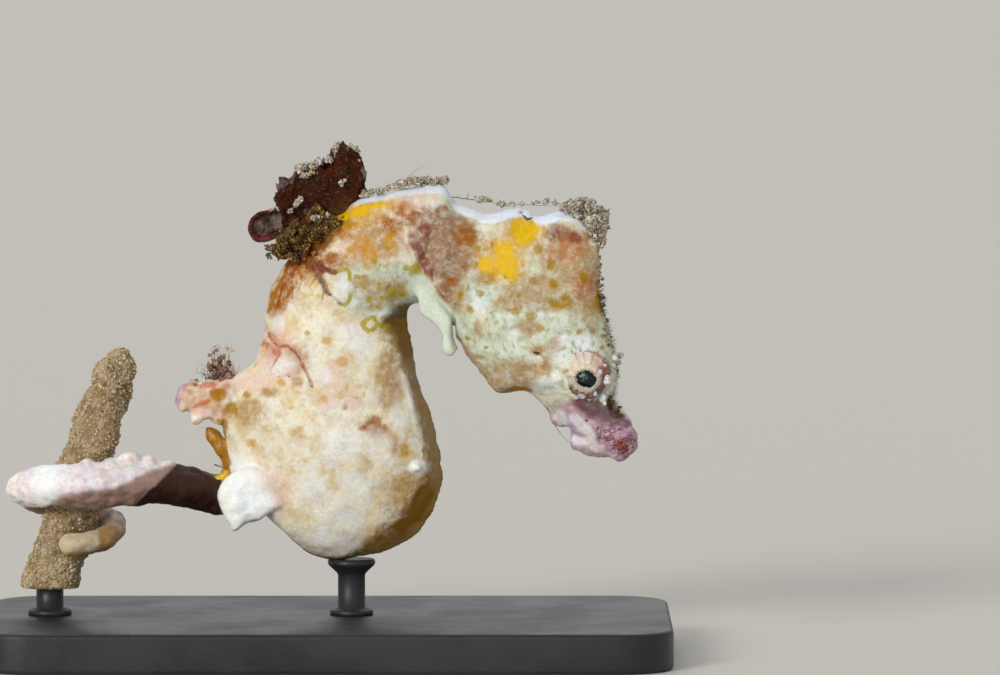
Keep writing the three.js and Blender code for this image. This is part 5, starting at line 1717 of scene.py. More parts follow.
FIN_ROOT = [
    (-1.5, 2.85), (-1.4, 2.71), (-1.3, 2.58), (-1.225, 2.43), (-1.225, 2.31), (-1.33, 2.2), (-1.52, 2.2),
]
FIN_EDGE = [
    (-1.6, 2.86), (-1.7, 2.74), (-1.74, 2.6), (-1.74, 2.46), (-1.7, 2.36), (-1.62, 2.28), (-1.52, 2.22),
]


def fin_surface(fronds, along=150, rows=36):
    """The dorsal fin's clear membrane: straight runs from the root line to the edge line, waved
    across and thicker on its rays. Returns the surface, its rays and how far out each place is."""
    u = np.linspace(0, 1, along)[:, None]
    v = np.linspace(0, 1, rows)[None, :]
    root = through(FIN_ROOT, u[:, 0])[:, None, :]
    edge = through(FIN_EDGE, u[:, 0])[:, None, :]
    edge = edge + 0.018 * np.abs(np.sin(10 * math.pi * u))[:, :, None] * np.array([-1.0, 0.0])
    flat = root + v[:, :, None] * (edge - root)
    wave = 0.03 * v * np.sin(2.5 * math.pi * u)
    rays = (0.5 + 0.5 * np.cos(20 * math.pi * u)) ** 3 * np.ones_like(v)
    half = fronds.fin_thickness / MM * (0.25 + 0.5 * rays) * (1 - 0.85 * v)
    return sheet_shell(flat, wave, half), over_sheet(rays), over_sheet(np.broadcast_to(v, rays.shape))


def fin_band():
    """The fleshy amber band at the fin's root: an oval section along the root line, thin at its ends.
    Also gives how low each place lies along it, from 0 to 1."""
    t = np.linspace(0, 1, 130)
    around = 30
    ends = np.sqrt(np.clip(1 - np.abs(2 * t - 1) ** 4, 0.004, 1))
    half = through([[w] for w in (0.1, 0.115, 0.105, 0.09, 0.075, 0.07, 0.065)], t)[:, 0]
    swell = (1 + 0.15 * np.sin(17 * t + 1) * np.sin(9 * t)) * ends * half
    band, faces = band_surface(through(FIN_ROOT, t), 0.0, swell, 0.8, around)
    band += 0.004 * wander(band, 0.07, (61, 62, 63))
    return (band, faces), over_shell(t[:, None] * np.ones(around))


class SEAHORSE_OT_fin(bpy.types.Operator):
    """Makes the small dorsal fin with its amber root and clear, rayed membrane"""

    bl_idname = "seahorse.fin"
    bl_label = "Dorsal fin"

    def execute(self, context):
        fronds = context.scene.seahorse_fronds
        membrane, rays, out = fin_surface(fronds)
        band, low = fin_band()
        values = {
            "rays": np.concatenate([rays, 0 * low]),
            "tongue": smooth_step(np.concatenate([0 * out, low]), 0.55, 0.85),
            "band": np.concatenate([0.75 * (1 - smooth_step(out, 0.0, 0.5)), np.ones(len(low))]),
        }
        material = fin_material(fronds, context.scene.seahorse_colours)
        add_piece("dorsal_fin_membrane", joined([membrane, band]), values, material, "fin", "dorsal_fin")
        return {"FINISHED"}


FROND_FOOT = [(-0.46, 5.12), (-0.22, 5.28), (0.04, 5.44), (0.22, 5.55), (0.4, 5.68)]
FROND_EDGE = [
    (-0.55, 5.52), (-0.65, 5.66), (-0.64, 5.86), (-0.48, 6.01), (-0.34, 6.13), (-0.1, 6.19), (0.05, 6.27),
    (0.1, 6.37), (0.28, 6.38), (0.42, 6.26), (0.47, 6.04), (0.46, 5.9), (0.52, 5.77),
]


def frond_leaf(thickness, reach, lean, folds, seed, along=190, rows=80):
    """One leaf of the frond: runs from the foot line to a ragged edge line, folded across like a fan
    and crumpled. Returns the surface and how far out each place is."""
    u = np.linspace(0, 1, along)[:, None]
    v = np.linspace(0, 1, rows)[None, :]
    foot = through(FROND_FOOT, u[:, 0])[:, None, :]
    edge = through(FROND_EDGE, u[:, 0])[:, None, :]
    line = np.column_stack([u[:, 0] * 3, np.full(along, seed * 1.7), np.zeros(along)])
    ragged = 1 + 0.05 * lattice_noise(line, 0.16, seed) + 0.04 * lattice_noise(line, 0.05, seed + 1)
    flat = foot + v[:, :, None] * (edge - foot) * (reach * ragged)[:, None, None]
    wave = folds * math.pi * u
    y = lean * v + 0.1 * v * np.sin(wave + seed) + 0.03 * v * np.sin(2.6 * wave)
    half = thickness * (1 - 0.8 * v**3) * np.ones_like(u)
    places, faces = sheet_shell(flat, y, half)
    places = places + 0.035 * wander(places, 0.15, range(seed + 2, seed + 5))
    places = places + 0.013 * wander(places, 0.05, range(seed + 5, seed + 8))
    return (places, faces), over_sheet(v * np.ones_like(u))


LOOP = [
    (-0.4, 5.36), (-0.58, 5.31), (-0.74, 5.23), (-0.87, 5.22), (-0.945, 5.31), (-0.94, 5.42), (-0.87, 5.51),
    (-0.74, 5.56), (-0.58, 5.6), (-0.46, 5.64),
]


def loop_surface():
    """The frond's loop: a band along a bent path, thick below and on the left, thin on top."""
    t = np.linspace(0, 1, 170)
    widths = (0.05, 0.045, 0.05, 0.048, 0.04, 0.034, 0.026, 0.022, 0.02, 0.02)
    width = through([[w] for w in widths], t)[:, 0] * (1 + 0.15 * np.sin(31 * t) * np.sin(11 * t + 1))
    return band_surface(through(LOOP, t), 0.04 * np.sin(5 * t), width, 1.5, 26)


def loop_membrane(half, along=60, rows=24):
    """The thin skin inside the loop: straight runs from the path's lower half up to its upper half."""
    u = np.linspace(0, 1, along)
    low = through(LOOP, 0.5 * u)[:, None, :]
    high = through(LOOP, 1 - 0.5 * u)[:, None, :]
    v = np.linspace(0, 1, rows)[None, :, None]
    flat = low + v * (high - low)
    bowed = 0.03 * np.sin(math.pi * v[:, :, 0]) * np.sin(5 * u[:, None])
    return sheet_shell(flat, bowed, half * np.ones((along, rows))), over_sheet(np.full((along, rows), 0.6))


# Lumps of the frond's foot: place, radius and stretch.
FOOT_KNOBS = (
    (-0.5, -0.04, 5.1, 0.13, (1.1, 1.3, 0.9)), (-0.34, -0.06, 5.2, 0.15, (1.1, 1.3, 0.9)),
    (-0.15, -0.04, 5.33, 0.14, (1.1, 1.3, 0.9)), (-0.6, 0.0, 5.04, 0.08),
    (0.02, -0.02, 5.43, 0.1, (1.2, 1.3, 0.8)), (-0.3, -0.08, 5.36, 0.1),
)


class SEAHORSE_OT_frond(bpy.types.Operator):
    """Makes the crumpled leaves of the frond on the nape, its lumpy foot and its loop"""

    bl_idname = "seahorse.frond"
    bl_label = "Nape frond"

    def execute(self, context):
        fronds = context.scene.seahorse_fronds
        material = frond_material(fronds, "Frond membrane", fronds.maroon, 0.55)
        half = fronds.frond_thickness / MM
        leaves = [loop_membrane(half)]
        for reach, lean, folds, seed in ((1.0, 0.0, 4.0, 21), (0.9, 0.14, 5.0, 31), (0.86, -0.14, 3.4, 41)):
            leaves.append(frond_leaf(half, reach, lean, folds, seed))
        foot = [knob_surface(*knob) for knob in FOOT_KNOBS]
        surface, faces = joined([leaf for leaf, _ in leaves] + foot)
        out = np.concatenate([reach for _, reach in leaves] + [np.zeros(len(places)) for places, _ in foot])
        lumpy = (1 - smooth_step(out, 0.0, 0.2))[:, None]
        surface = surface + lumpy * 0.04 * wander(surface, 0.09, (51, 52, 53))
        root = 1 - smooth_step(out + 0.15 * lattice_noise(surface, 0.1, 54), 0.1, 0.34)
        values = {"root": root, "solid": root}
        add_piece("nape_frond_leaf", (surface, faces), values, material, "frond", "nape_frond")
        rim = frond_material(fronds, "Loop rim", fronds.magenta, 0.8)
        places, faces = loop_surface()
        places += 0.01 * wander(places, 0.06, (31, 32, 33))
        values = {"root": np.zeros(len(places)), "solid": np.full(len(places), 0.8)}
        add_piece("nape_frond_band", (places, faces), values, rim, "frond", "nape_frond_loop")
        return {"FINISHED"}


def grain_shape():
    """A grain's shape before it is pushed about: the 12 corners and 20 faces of an icosahedron."""
    golden = (1 + math.sqrt(5)) / 2
    corners = []
    for a in (-1, 1):
        for b in (-golden, golden):
            corners += [(0, a, b), (a, b, 0), (b, 0, a)]
    corners = np.array(corners, dtype=float)
    corners /= np.linalg.norm(corners[0])
    near = np.linalg.norm(corners[:, None] - corners[None], axis=2)
    side = near[near > 0].min() * 1.01
    faces = []
    for i in range(12):
        for j in range(i + 1, 12):
            for k in range(j + 1, 12):
                if max(near[i, j], near[j, k], near[i, k]) < side:
                    outward = np.dot(np.cross(corners[j] - corners[i], corners[k] - corners[i]), corners[i])
                    faces.append((i, j, k) if outward > 0 else (i, k, j))
    return corners, np.array(faces)


def grains(roots, radius, seed, uneven=0.35):
    """Many grains as one surface: each is the grain's shape at its root, turned, stretched and
    dented by seeded chance. Also gives, for each vertex, its grain's number."""
    corners, faces = grain_shape()
    rng = np.random.default_rng(seed)
    count = len(roots)
    turn, _ = np.linalg.qr(rng.normal(size=(count, 3, 3)))
    turn *= np.sign(np.linalg.det(turn))[:, None, None]
    stretch = rng.uniform(0.6, 1.35, (count, 1, 3))
    dent = rng.uniform(1 - uneven, 1 + uneven, (count, 12, 1))
    size = np.asarray(radius) * rng.lognormal(0.0, 0.35, count)
    local = np.einsum("nij,nkj->nki", turn, corners[None] * stretch * dent)
    places = roots[:, None, :] + local * size[:, None, None]
    blocks = faces[None] + 12 * np.arange(count)[:, None, None]
    return (places.reshape(-1, 3), [blocks.reshape(-1, 3)]), np.repeat(np.arange(count), 12)


def add_bake_map(mesh, owner, unwrap):
    """A UV map in which each grain is a small patch at its root's place on the host's unwrap."""
    patch = 0.003
    corners = np.empty(len(mesh.loops), dtype=np.int32)
    mesh.loops.foreach_get("vertex_index", corners)
    places = get_places(mesh)
    grain = owner[corners]
    count = owner.max() + 1
    middle = np.stack([np.bincount(owner, places[:, k], count) for k in range(3)], axis=1)
    middle /= np.bincount(owner, minlength=count)[:, None]
    local = places[corners] - middle[grain]
    spread = np.abs(local).max()
    flat = local[:, [0, 2]] + 0.3 * local[:, [1, 1]]
    uv = 0.02 + 0.96 * unwrap[grain] + flat / spread * patch / 2
    layer = mesh.uv_layers.new(name="OFBake")
    layer.data.foreach_set("uv", np.clip(uv, 0, 1).astype(np.float32).ravel())


def add_grains(name, roots, unwrap, radius, material, seed, golden, tones, replaced=()):
    """A piece of many grains at the roots, each with its own tone and with a bake map."""
    surface, owner = grains(roots, radius, seed)
    mesh = new_mesh(name, surface)
    rng = np.random.default_rng(seed + 1)
    tone = rng.uniform(*tones, len(roots))
    small = np.broadcast_to(radius, len(roots)) <= np.min(radius)
    chosen = small & (rng.uniform(0, 1, len(roots)) < golden)
    set_values(mesh, {"tone": tone[owner], "golden": chosen[owner]})
    add_bake_map(mesh, owner, unwrap)
    new_piece(name, mesh, material, replaced)


def clumped(points, clumps, count, spread, size, seed):
    """Grains in clumps about a bent line, as places, unwrap and radii: a large core at each clump's
    middle, middling ones round it and small ones (radius 0, to be filled in) all over its outside."""
    rng = np.random.default_rng(seed)
    t = rng.uniform(0, 1, clumps)
    away = rng.normal(size=(clumps, 3)) * np.asarray(spread)
    middles = through(points, t) + away
    sizes = size * np.minimum(rng.lognormal(0.0, 0.4, clumps), 1.5)
    share = sizes**2 / (sizes**2).sum()
    lumps = 9 * clumps
    clump = np.concatenate([rng.choice(clumps, lumps, p=share), rng.choice(clumps, count, p=share)])
    way = rng.normal(size=(lumps + count, 3))
    way /= np.linalg.norm(way, axis=1)[:, None]
    reach = np.concatenate([rng.uniform(0.4, 1.0, lumps), rng.uniform(0.6, 1.4, count)]) * sizes[clump]
    offset = way * reach[:, None]
    places = np.concatenate([middles, middles[clump] + offset])
    middling = rng.uniform(0.2, 0.4, lumps) * sizes[clump[:lumps]]
    radii = np.concatenate([0.42 * sizes, middling, np.zeros(count)])
    every = np.concatenate([np.arange(clumps), clump])
    offset = np.concatenate([np.zeros((clumps, 3)), offset])
    along = np.clip(t[every] + 0.04 * offset[:, 0] / size, 0, 1)
    side = np.clip(0.5 + 0.14 * (away[every, 1] + offset[:, 1]) / max(spread[1], 1e-6), 0, 1)
    return places, np.stack([along, side], axis=1), radii


def add_silt(name, lines, grain, material, seed, golden, tones=(0.0, 1.0), turned=False, replaced=()):
    """A piece of clumped grains along several lines, each line on its own band of the unwrap."""
    sets = [clumped(*line, seed + i) for i, line in enumerate(lines)]
    places, flats, radii = (np.concatenate(part) for part in zip(*sets))
    band = np.repeat(np.arange(len(sets)), [len(part[2]) for part in sets])
    unwrap = (flats + np.stack([0 * band, band], axis=1)) / (1, len(sets))
    roots = head_turned(places) if turned else places
    radii = np.maximum(radii, grain)
    add_grains(name, roots, unwrap, radii, material, seed + 50, golden, tones, replaced)


def hair_surface(start, end, bow, radius, count=14, around=5):
    """A thin hair: it tapers from start to end along a bow."""
    t = np.linspace(0, 1, count)
    path = np.asarray(start) + t[:, None] * (np.asarray(end) - np.asarray(start))
    path = path + np.sin(math.pi * t)[:, None] * np.asarray(bow)
    along = unit(np.gradient(path, axis=0))
    helper = np.array([0.3, 0.9, 0.31])
    across = unit(np.cross(along, helper))
    taper = radius * (1 - 0.8 * t)
    return closed_shell(sweep(path, across, np.cross(across, along), full_turn(around), taper, taper))


def add_hairs(name, hairs, material, tone):
    """A piece of many hairs with one tone, each with its own patch of the bake map."""
    mesh = new_mesh(name, joined(hairs))
    owner = np.repeat(np.arange(len(hairs)), [len(hair) for hair, _ in hairs])
    roots = np.array([hair[0] for hair, _ in hairs])
    low, high = roots.min(axis=0), roots.max(axis=0)
    unwrap = (roots - low) / np.maximum(high - low, 1e-6)
    set_values(mesh, {"tone": np.full(len(owner), tone), "golden": np.zeros(len(owner))})
    add_bake_map(mesh, owner, unwrap[:, [2, 1]])
    new_piece(name, mesh, material)


# Clumps of silt: (line, clumps, small grains, spread of the clumps along x, y and z, size of a clump).
FROND_SILT = (
    (
        [(-0.36, -0.03, 6.1), (-0.2, -0.03, 6.15), (0.0, -0.03, 6.19), (0.14, -0.03, 6.24)], 22, 620,
        (0.02, 0.05, 0.014), 0.03,
    ),
    (
        [(0.1, 0.0, 6.33), (0.18, 0.0, 6.37), (0.3, 0.0, 6.34), (0.38, 0.0, 6.27)], 18, 520,
        (0.02, 0.05, 0.016), 0.03,
    ),
    ([(-0.47, -0.16, 5.57), (-0.39, -0.16, 5.65), (-0.31, -0.16, 5.74)], 8, 170, (0.01, 0.01, 0.01), 0.022),
    ([(-0.34, -0.1, 5.96), (-0.24, -0.1, 6.05)], 5, 90, (0.012, 0.02, 0.012), 0.02),
    ([(0.14, -0.16, 5.9), (0.24, -0.16, 5.96)], 4, 50, (0.012, 0.02, 0.012), 0.018),
    ([(-0.24, -0.14, 5.45), (-0.12, -0.14, 5.5), (-0.02, -0.12, 5.52)], 8, 140, (0.03, 0.03, 0.02), 0.024),
)
FOOT_SILT = (
    (
        [(-0.62, -0.06, 5.02), (-0.42, -0.1, 5.16), (-0.15, -0.1, 5.32), (0.08, -0.06, 5.46)], 110, 3200,
        (0.065, 0.1, 0.06), 0.034,
    ),
    ([(-0.2, -0.16, 5.22), (-0.02, -0.2, 5.32), (0.12, -0.2, 5.42)], 26, 700, (0.05, 0.06, 0.04), 0.034),
    (
        [(-0.45, -0.16, 5.02), (-0.25, -0.24, 5.02), (-0.05, -0.28, 5.05)], 34, 480, (0.07, 0.04, 0.05),
        0.016,
    ),
    (
        [(-0.62, -0.1, 5.1), (-0.5, -0.14, 5.28), (-0.3, -0.16, 5.44), (-0.05, -0.14, 5.56)], 34, 900,
        (0.05, 0.05, 0.05), 0.028,
    ),
)
BEADS = (
    ([(-0.34, -0.1, 6.06), (-0.18, -0.1, 6.05), (-0.08, -0.1, 6.02)], 9, 24, (0.02, 0.01, 0.012), 0.01),
    (
        [(-0.74, -0.05, 5.57), (-0.66, -0.05, 5.58), (-0.56, -0.05, 5.61)], 8, 24, (0.012, 0.01, 0.012),
        0.011,
    ),
    ([(0.32, -0.06, 6.2), (0.42, -0.06, 6.22)], 5, 14, (0.012, 0.01, 0.012), 0.009),
    (
        [(-1.42, 0.0, 3.88), (-1.34, 0.0, 3.86), (-1.22, 0.0, 3.84), (-1.13, 0.0, 3.8)], 9, 24,
        (0.01, 0.02, 0.01), 0.014,
    ),
)
CREST_SILT = (
    (
        [(0.42, 0.0, 5.75), (0.6, 0.0, 5.8), (0.8, 0.0, 5.87), (0.98, 0.0, 5.92)], 40, 1100,
        (0.02, 0.06, 0.012), 0.026,
    ),
    (
        [(0.98, 0.0, 5.92), (1.14, 0.0, 5.95), (1.32, 0.0, 5.94), (1.5, 0.0, 5.93)], 44, 1400,
        (0.02, 0.06, 0.014), 0.03,
    ),
    (
        [
            (1.62, 0.0, 5.76), (1.95, 0.0, 5.71), (2.2, 0.0, 5.66), (2.5, 0.0, 5.67), (2.76, 0.0, 5.69),
            (3.02, 0.0, 5.64),
        ],
        26, 380, (0.02, 0.02, 0.01), 0.016,
    ),
    ([(1.93, 0.0, 5.73), (1.97, 0.0, 5.7)], 3, 90, (0.01, 0.02, 0.01), 0.026),
    ([(2.16, 0.0, 5.66), (2.22, 0.0, 5.66)], 3, 110, (0.01, 0.02, 0.01), 0.03),
    ([(2.74, 0.0, 5.7), (2.78, 0.0, 5.69)], 3, 70, (0.01, 0.02, 0.01), 0.022),
    ([(2.44, -0.05, 5.56), (2.56, -0.05, 5.5)], 5, 60, (0.02, 0.04, 0.01), 0.016),
)
TUFT_SILT = (
    (
        [(2.98, 0.0, 5.58), (3.1, 0.0, 5.64), (3.26, 0.0, 5.67), (3.4, 0.0, 5.62), (3.5, 0.0, 5.52)], 46,
        1700, (0.025, 0.09, 0.02), 0.045,
    ),
    (
        [(3.16, 0.0, 5.52), (3.32, 0.0, 5.52), (3.44, 0.0, 5.46), (3.48, 0.0, 5.36)], 34, 1300,
        (0.03, 0.1, 0.03), 0.048,
    ),
    ([(3.36, 0.0, 5.36), (3.42, 0.0, 5.28), (3.45, 0.0, 5.2)], 14, 420, (0.02, 0.08, 0.03), 0.034),
)
FACE = [
    (3.41, 0.0, 5.15), (3.45, 0.0, 4.7), (3.47, 0.0, 4.3), (3.56, 0.0, 3.95), (3.6, 0.0, 3.6),
    (3.57, 0.0, 3.22), (3.64, 0.0, 3.06), (3.72, 0.0, 2.99),
]
FACE_SILT = (
    (FACE[:3], 90, 1100, (0.012, 0.06, 0.05), 0.009),
    (FACE[2:], 150, 2600, (0.022, 0.07, 0.05), 0.011),
)
SPUR_SILT = (
    (
        [(-1.44, 0.0, 3.62), (-1.34, 0.0, 3.6), (-1.22, 0.0, 3.52), (-1.1, 0.0, 3.46)], 34, 620,
        (0.04, 0.05, 0.05), 0.026,
    ),
    ([(-1.48, 0.0, 3.46), (-1.26, 0.0, 3.44), (-1.02, 0.0, 3.44)], 20, 320, (0.05, 0.06, 0.02), 0.028),
    ([(-1.38, 0.0, 3.84), (-1.34, 0.0, 3.74), (-1.3, 0.0, 3.64)], 10, 160, (0.05, 0.04, 0.05), 0.018),
    ([(-1.74, 0.0, 3.42), (-1.58, 0.0, 3.41), (-1.44, 0.0, 3.44)], 12, 160, (0.02, 0.05, 0.012), 0.014),
)


# Single threads and hairs: start, end, bow, radius and, for a long one, how many rings it has.
THREADS = (
    ((1.55, 0.0, 5.74), (3.1, 0.0, 5.64), (0.0, 0.02, -0.03), 0.006, 60),
    ((2.88, -0.12, 2.94), (3.12, -0.12, 2.66), (-0.03, 0.0, 0.0), 0.005),
    ((2.78, -0.08, 3.12), (2.82, -0.08, 2.98), (0.02, 0.0, 0.0), 0.005),
    ((0.96, -0.02, 5.94), (1.26, -0.05, 6.14), (0.0, 0.0, 0.03), 0.003),
    ((-1.41, -0.14, 2.4), (-1.27, -0.14, 2.35), (0.0, 0.0, 0.0), 0.01),
)


def tuft_hairs(rng, count=90):
    """Hairs that stand on the spur of the back, longest in the tuft's middle."""
    for _ in range(count):
        foot = np.array([rng.normal(-1.28, 0.12), rng.uniform(-0.08, 0.08), rng.uniform(3.4, 3.52)])
        height = rng.uniform(0.1, 0.46) * math.exp(-(((foot[0] + 1.32) / 0.17) ** 2))
        tip = foot + (rng.normal(-0.04, 0.05), rng.uniform(-0.06, 0.06), 0.05 + height)
        yield hair_surface(foot, tip, rng.normal(0, 0.03, 3), 0.0035)


def face_hairs(rng, count=1000):
    """Short fuzz along the face's edge, longer towards the snout."""
    for t in rng.uniform(0.2, 1, count):
        foot = through(FACE, np.array([t]))[0] + (-0.02, rng.uniform(-0.09, 0.09), 0.0)
        tip = foot + (rng.uniform(0.02, 0.06 + 0.1 * t), rng.uniform(-0.05, 0.05), rng.uniform(-0.09, 0.06))
        yield hair_surface(foot, tip, rng.normal(0, 0.02, 3), 0.0022, 7, 5)


class SEAHORSE_OT_debris(bpy.types.Operator):
    """Makes the silt grains on the frond, crest and crown, and the threads and hairs that hold them"""

    bl_idname = "seahorse.debris"
    bl_label = "Debris and hairs"

    def execute(self, context):
        fronds = context.scene.seahorse_fronds
        size = fronds.grain / MM
        silt = debris_material("Silt grains", fronds.shadow, fronds.silt, fronds.pale_silt, fronds.gold)
        earth = debris_material("Foot grains", fronds.soot, fronds.olive, fronds.ochre, fronds.gold)
        fuzz = debris_material("Hairs and threads", fronds.olive, fronds.olive, fronds.silt, fronds.gold)
        purple = debris_material("Spur tuft", fronds.fold, fronds.plum, fronds.silt, fronds.gold)
        for name, lines, share, material, seed, golden, *rest in (
            ("frond_grains", FROND_SILT, 0.9, silt, 130, 0.03, (0.3, 1.0)),
            ("frond_foot_grains", FOOT_SILT, 1.0, earth, 150, 0.12),
            ("bright_beads", BEADS, 0.7, silt, 160, 0.4, (0.8, 1.0)),
            ("crest_grains", CREST_SILT, 0.8, silt, 170, 0.01, (0.15, 1.0), True),
            ("crown_tuft_grains", TUFT_SILT, 0.9, silt, 180, 0.02, (0.1, 1.0), True, ("coronet_tuft",)),
            ("face_grains", FACE_SILT, 0.42, fuzz, 190, 0.02, (0.2, 1.0), True),
            ("spur_grains", SPUR_SILT, 0.8, purple, 200, 0.05, (0.1, 0.9)),
        ):
            add_silt(name, lines, share * size, material, seed, golden, *rest)
        rng = np.random.default_rng(120)
        hairs = [hair_surface(*thread) for thread in THREADS]
        hairs += [*tuft_hairs(rng), *face_hairs(rng)]
        turned = [(head_turned(places), faces) for places, faces in hairs]
        add_hairs("hairs_and_threads", turned, fuzz, 0.3)
        return {"FINISHED"}


def stalk_rings(perch, rows=230, around=130):
    """The stalk: rings of radius taper·t + knobs·sin(7z + 2a)·cos(3z − a) up a leaning line, blunt at
    the top, roughened by three sizes of noise."""
    t, angle = np.meshgrid(np.linspace(0, 1, rows), full_turn(around), indexing="ij")
    z = STALK["foot"] + (STALK["top"] - STALK["foot"]) * t
    blunt = np.sqrt(np.clip(1 - smooth_step(t, 0.9, 1.012), 0.0004, 1))
    knob = STALK["knobs"] * np.sin(7 * z + 2 * angle) * np.cos(3 * z - angle)
    taper = perch.stalk_taper / MM * t + perch.stalk_tip_taper / MM * t**4
    radius = (perch.stalk_radius / MM - taper + knob) * blunt
    smooth = np.stack([stalk_x(z) + radius * np.cos(angle), radius * np.sin(angle), z], axis=2)
    flat = smooth.reshape(-1, 3)
    rough = 0.03 * lattice_noise(flat, 0.17, 41) + 0.016 * lattice_noise(flat, 0.08, 42)
    rough = (rough + 0.01 * lattice_noise(flat, 0.04, 43)).reshape(radius.shape) * smooth_step(t, 0.0, 0.01)
    out = np.stack([np.cos(angle), np.sin(angle), np.zeros_like(angle)], axis=2)
    return smooth + out * rough[:, :, None]


class SEAHORSE_OT_perch(bpy.types.Operator):
    """Makes the cut stalk with its sandy surface and the loose grains that stick to it"""

    bl_idname = "seahorse.perch"
    bl_label = "Perch stalk"

    def execute(self, context):
        perch = context.scene.seahorse_perch
        rings = stalk_rings(perch)
        material = stalk_material(perch, context.scene.seahorse_colours)
        surface = closed_shell(rings)
        away = np.linalg.norm(surface[0] - np.array([-2.46, -0.22, 3.32]), axis=1)
        knot = {"knot": np.exp(-((away / 0.15) ** 2))}
        add_piece("sandy_stalk", surface, knot, material, "stalk", "perch_stalk")
        rng = np.random.default_rng(45)
        count = 4200
        rows, around, _ = rings.shape
        row = rng.integers(4, rows - 2, count)
        column = rng.integers(0, around, count)
        roots = rings[row, column]
        unwrap = np.stack([column / around, row / rows], axis=1)
        light = perch.stalk_light
        sandy = debris_material("Sand grains", perch.stalk_dark, light, perch.stalk_pale, light)
        add_grains("stalk_grains", roots, unwrap, 0.014, sandy, 46, 0.0, (0.1, 1.0))
        return {"FINISHED"}


def plate_surface(half_x, half_y, corner, thickness, bevel, around=240):
    """The stand's base: rounded rectangles stacked up, drawn in by a quarter circle at each edge."""
    a = full_turn(around)
    direction = np.stack([np.cos(a), np.sin(a)], axis=1)
    straight = np.array([half_x - corner, half_y - corner])
    turn = np.linspace(0, math.pi / 2, 9)
    near, far = bevel * (1 - np.sin(turn)), bevel * (1 - np.cos(turn))
    inset = np.concatenate([[0.6], near, far, [0.6]])
    height = np.concatenate([[0.0], far, thickness - near, [thickness]])
    rings = []
    for drawn, z in zip(inset, height):
        flat = np.sign(direction) * straight + direction * (corner - drawn)
        rings.append(np.column_stack([flat, np.full(around, z)]))
    return closed_shell(np.array(rings))


def lathe_surface(profile, x, around=72):
    """A round piece: each ring has the profile's radius at its height about an upright line."""
    a = full_turn(around)
    rings = [np.stack([x + r * np.cos(a), r * np.sin(a), np.full(around, z)], axis=1) for r, z in profile]
    return closed_shell(np.array(rings))


# The cradle on top of the belly's rod: radius and height.
CRADLE = ((0.27, 1.11), (0.29, 1.13), (0.3, 1.16), (0.285, 1.2), (0.24, 1.205), (0.18, 1.19))


class SEAHORSE_OT_stand(bpy.types.Operator):
    """Makes the display stand: a flat base, a rod to the stalk and a rod with a cradle for the belly"""

    bl_idname = "seahorse.stand"
    bl_label = "Display stand"

    def execute(self, context):
        perch = context.scene.seahorse_perch
        paint = stand_material(perch)
        low, high = (tuple(v / MM for v in corner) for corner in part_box("stand_base"))
        top = high[2]
        r = perch.rod_radius / MM
        foot = STALK["foot"]
        collar = [(r + 0.1, top), (r + 0.1, top + 0.05), (r + 0.08, top + 0.07), (r, top + 0.09)]
        stalk_rod = collar + [(r, foot - 0.03), (r, foot + 0.03), (r - 0.04, foot + 0.05)]
        belly_rod = collar + [(r, 1.0), (r + 0.015, 1.03), *CRADLE]
        base = plate_surface(high[0], high[1], 0.7, top - low[2], 0.06)
        for name, surface, node in (
            ("stand_base_plate", base, "stand_base"),
            ("stand_perch_rod", lathe_surface(stalk_rod, STALK["foot_x"]), "stand_rod_perch"),
            ("stand_belly_rod", lathe_surface(belly_rod, 0.3), "stand_rod_body"),
        ):
            add_piece(name, surface, {}, paint, "stand", node)
        return {"FINISHED"}


def add_sun(name, strength, spread, azimuth, elevation, tint):
    """A broad soft sun that shines from an azimuth (0 is from −Y, 90 from +X) and an elevation."""
    light = bpy.data.lights.new(name, "SUN")
    light.energy = strength
    light.angle = math.radians(spread)
    light.color = tint
    lamp = bpy.data.objects.new(name, light)
    lamp.rotation_euler = (math.radians(90 - elevation), 0.0, math.radians(azimuth))
    bpy.context.scene.collection.objects.link(lamp)


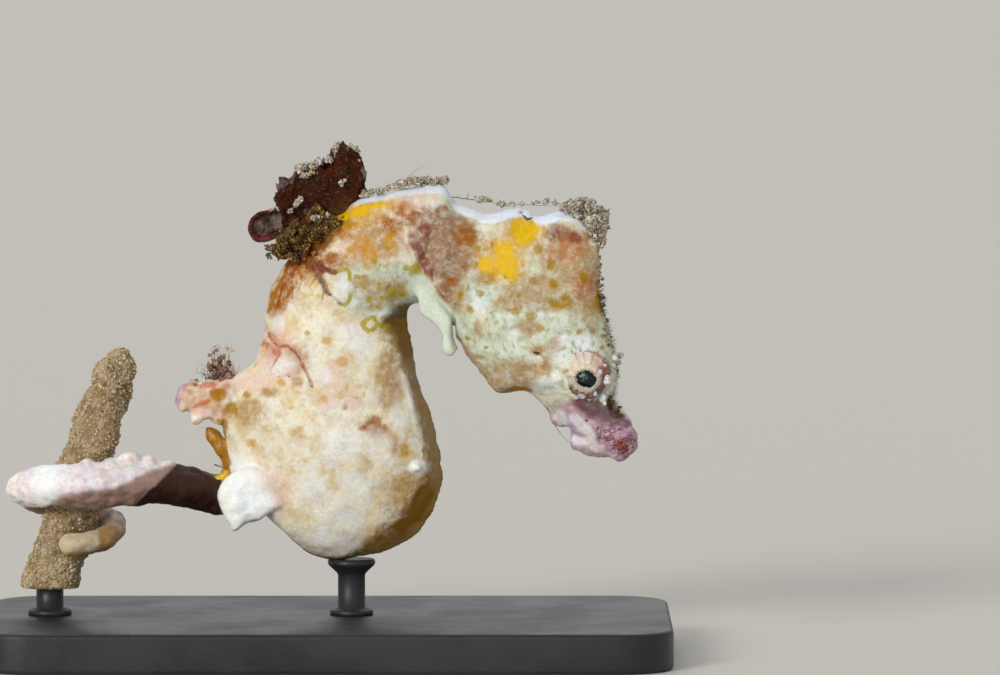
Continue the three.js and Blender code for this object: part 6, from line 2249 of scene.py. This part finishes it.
class SEAHORSE_OT_stage(bpy.types.Operator):
    """Makes the pale floor, the soft studio light and the camera"""

    bl_idname = "seahorse.stage"
    bl_label = "Stage"

    def execute(self, context):
        scene = context.scene
        stage = scene.seahorse_stage
        material, nodes = new_material("Floor paint", Roughness=0.9, Specular_IOR_Level=0.2)
        darker = [c * 0.97 for c in stage.floor]
        nodes.finish(nodes.mix(nodes.noise(60.0, 2.0), darker, stage.floor))
        reach = 3000.0
        corners = reach * np.array([[-1.0, -1.0, 0.0], [1.0, -1.0, 0.0], [1.0, 1.0, 0.0], [-1.0, 1.0, 0.0]])
        mesh = new_mesh("floor", (corners, [np.array([[0, 1, 2, 3]])]))
        mesh.materials.append(material)
        floor = bpy.data.objects.new("floor", mesh)
        scene.collection.objects.link(floor)
        floor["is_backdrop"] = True
        world = bpy.data.worlds.new("Soft room")
        world.use_nodes = True
        background = world.node_tree.nodes["Background"]
        background.inputs["Color"].default_value = (0.95, 0.98, 1.0, 1.0)
        background.inputs["Strength"].default_value = stage.room
        scene.world = world
        add_sun("Key", stage.key, 20, -34, 21, (1.0, 0.98, 0.95))
        add_sun("Fill", stage.fill, 90, 10, -12, (0.95, 0.97, 1.0))
        add_sun("Back", stage.fill, 60, 180, 45, (1.0, 0.98, 0.96))
        scene.view_settings.view_transform = "Standard"
        camera = bpy.data.cameras.new("Camera")
        camera.lens = stage.lens
        camera.clip_start = 0.001
        camera.clip_end = 100.0
        eye = bpy.data.objects.new("Camera", camera)
        distance = stage.lens / camera.sensor_width * stage.field
        elevation = math.radians(4)
        aim_x, aim_z = 2.16 * MM, 3.98 * MM
        back, up = distance * math.cos(elevation), distance * math.sin(elevation)
        eye.location = (aim_x, -back, aim_z + up)
        eye.rotation_euler = (math.radians(90) - elevation, 0.0, 0.0)
        scene.collection.objects.link(eye)
        scene.camera = eye
        return {"FINISHED"}


# ---- Add-on

STEPS = (
    SEAHORSE_OT_skin,
    SEAHORSE_OT_eyes,
    SEAHORSE_OT_fin,
    SEAHORSE_OT_frond,
    SEAHORSE_OT_debris,
    SEAHORSE_OT_perch,
    SEAHORSE_OT_stand,
    SEAHORSE_OT_stage,
)


class SEAHORSE_PT_panel(bpy.types.Panel):
    """Lists the seahorse's settings and the steps that build it"""

    bl_idname = "SEAHORSE_PT_panel"
    bl_label = "Seahorse"
    bl_space_type = "VIEW_3D"
    bl_region_type = "UI"
    bl_category = "Seahorse"

    def draw(self, context):
        for name in SETTINGS:
            box = self.layout.box()
            settings = getattr(context.scene, name)
            for key in settings.bl_rna.properties.keys():
                if key not in ("rna_type", "name"):
                    box.prop(settings, key)
        for step in STEPS:
            self.layout.operator(step.bl_idname)


def register():
    """Registers the settings, steps and panel."""
    for name, settings in SETTINGS.items():
        bpy.utils.register_class(settings)
        setattr(bpy.types.Scene, name, PointerProperty(type=settings))
    for step in STEPS:
        bpy.utils.register_class(step)
    bpy.utils.register_class(SEAHORSE_PT_panel)


def unregister():
    """Takes the settings, steps and panel away again."""
    bpy.utils.unregister_class(SEAHORSE_PT_panel)
    for step in reversed(STEPS):
        bpy.utils.unregister_class(step)
    for name, settings in reversed(list(SETTINGS.items())):
        delattr(bpy.types.Scene, name)
        bpy.utils.unregister_class(settings)


def plain(bounds):
    """A box's two corners as lists of numbers."""
    return [[float(value) for value in corner] for corner in bounds]


def main():
    """Builds everything in order."""
    register()
    bpy.ops.seahorse.skin()
    bpy.ops.seahorse.eyes()
    bpy.ops.seahorse.fin()
    bpy.ops.seahorse.frond()
    bpy.ops.seahorse.debris()
    bpy.ops.seahorse.perch()
    bpy.ops.seahorse.stand()
    bpy.ops.seahorse.stage()
    {"cad": plain(cad_bounds), "visual": plain(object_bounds())}


if __name__ == "__main__":
    main()
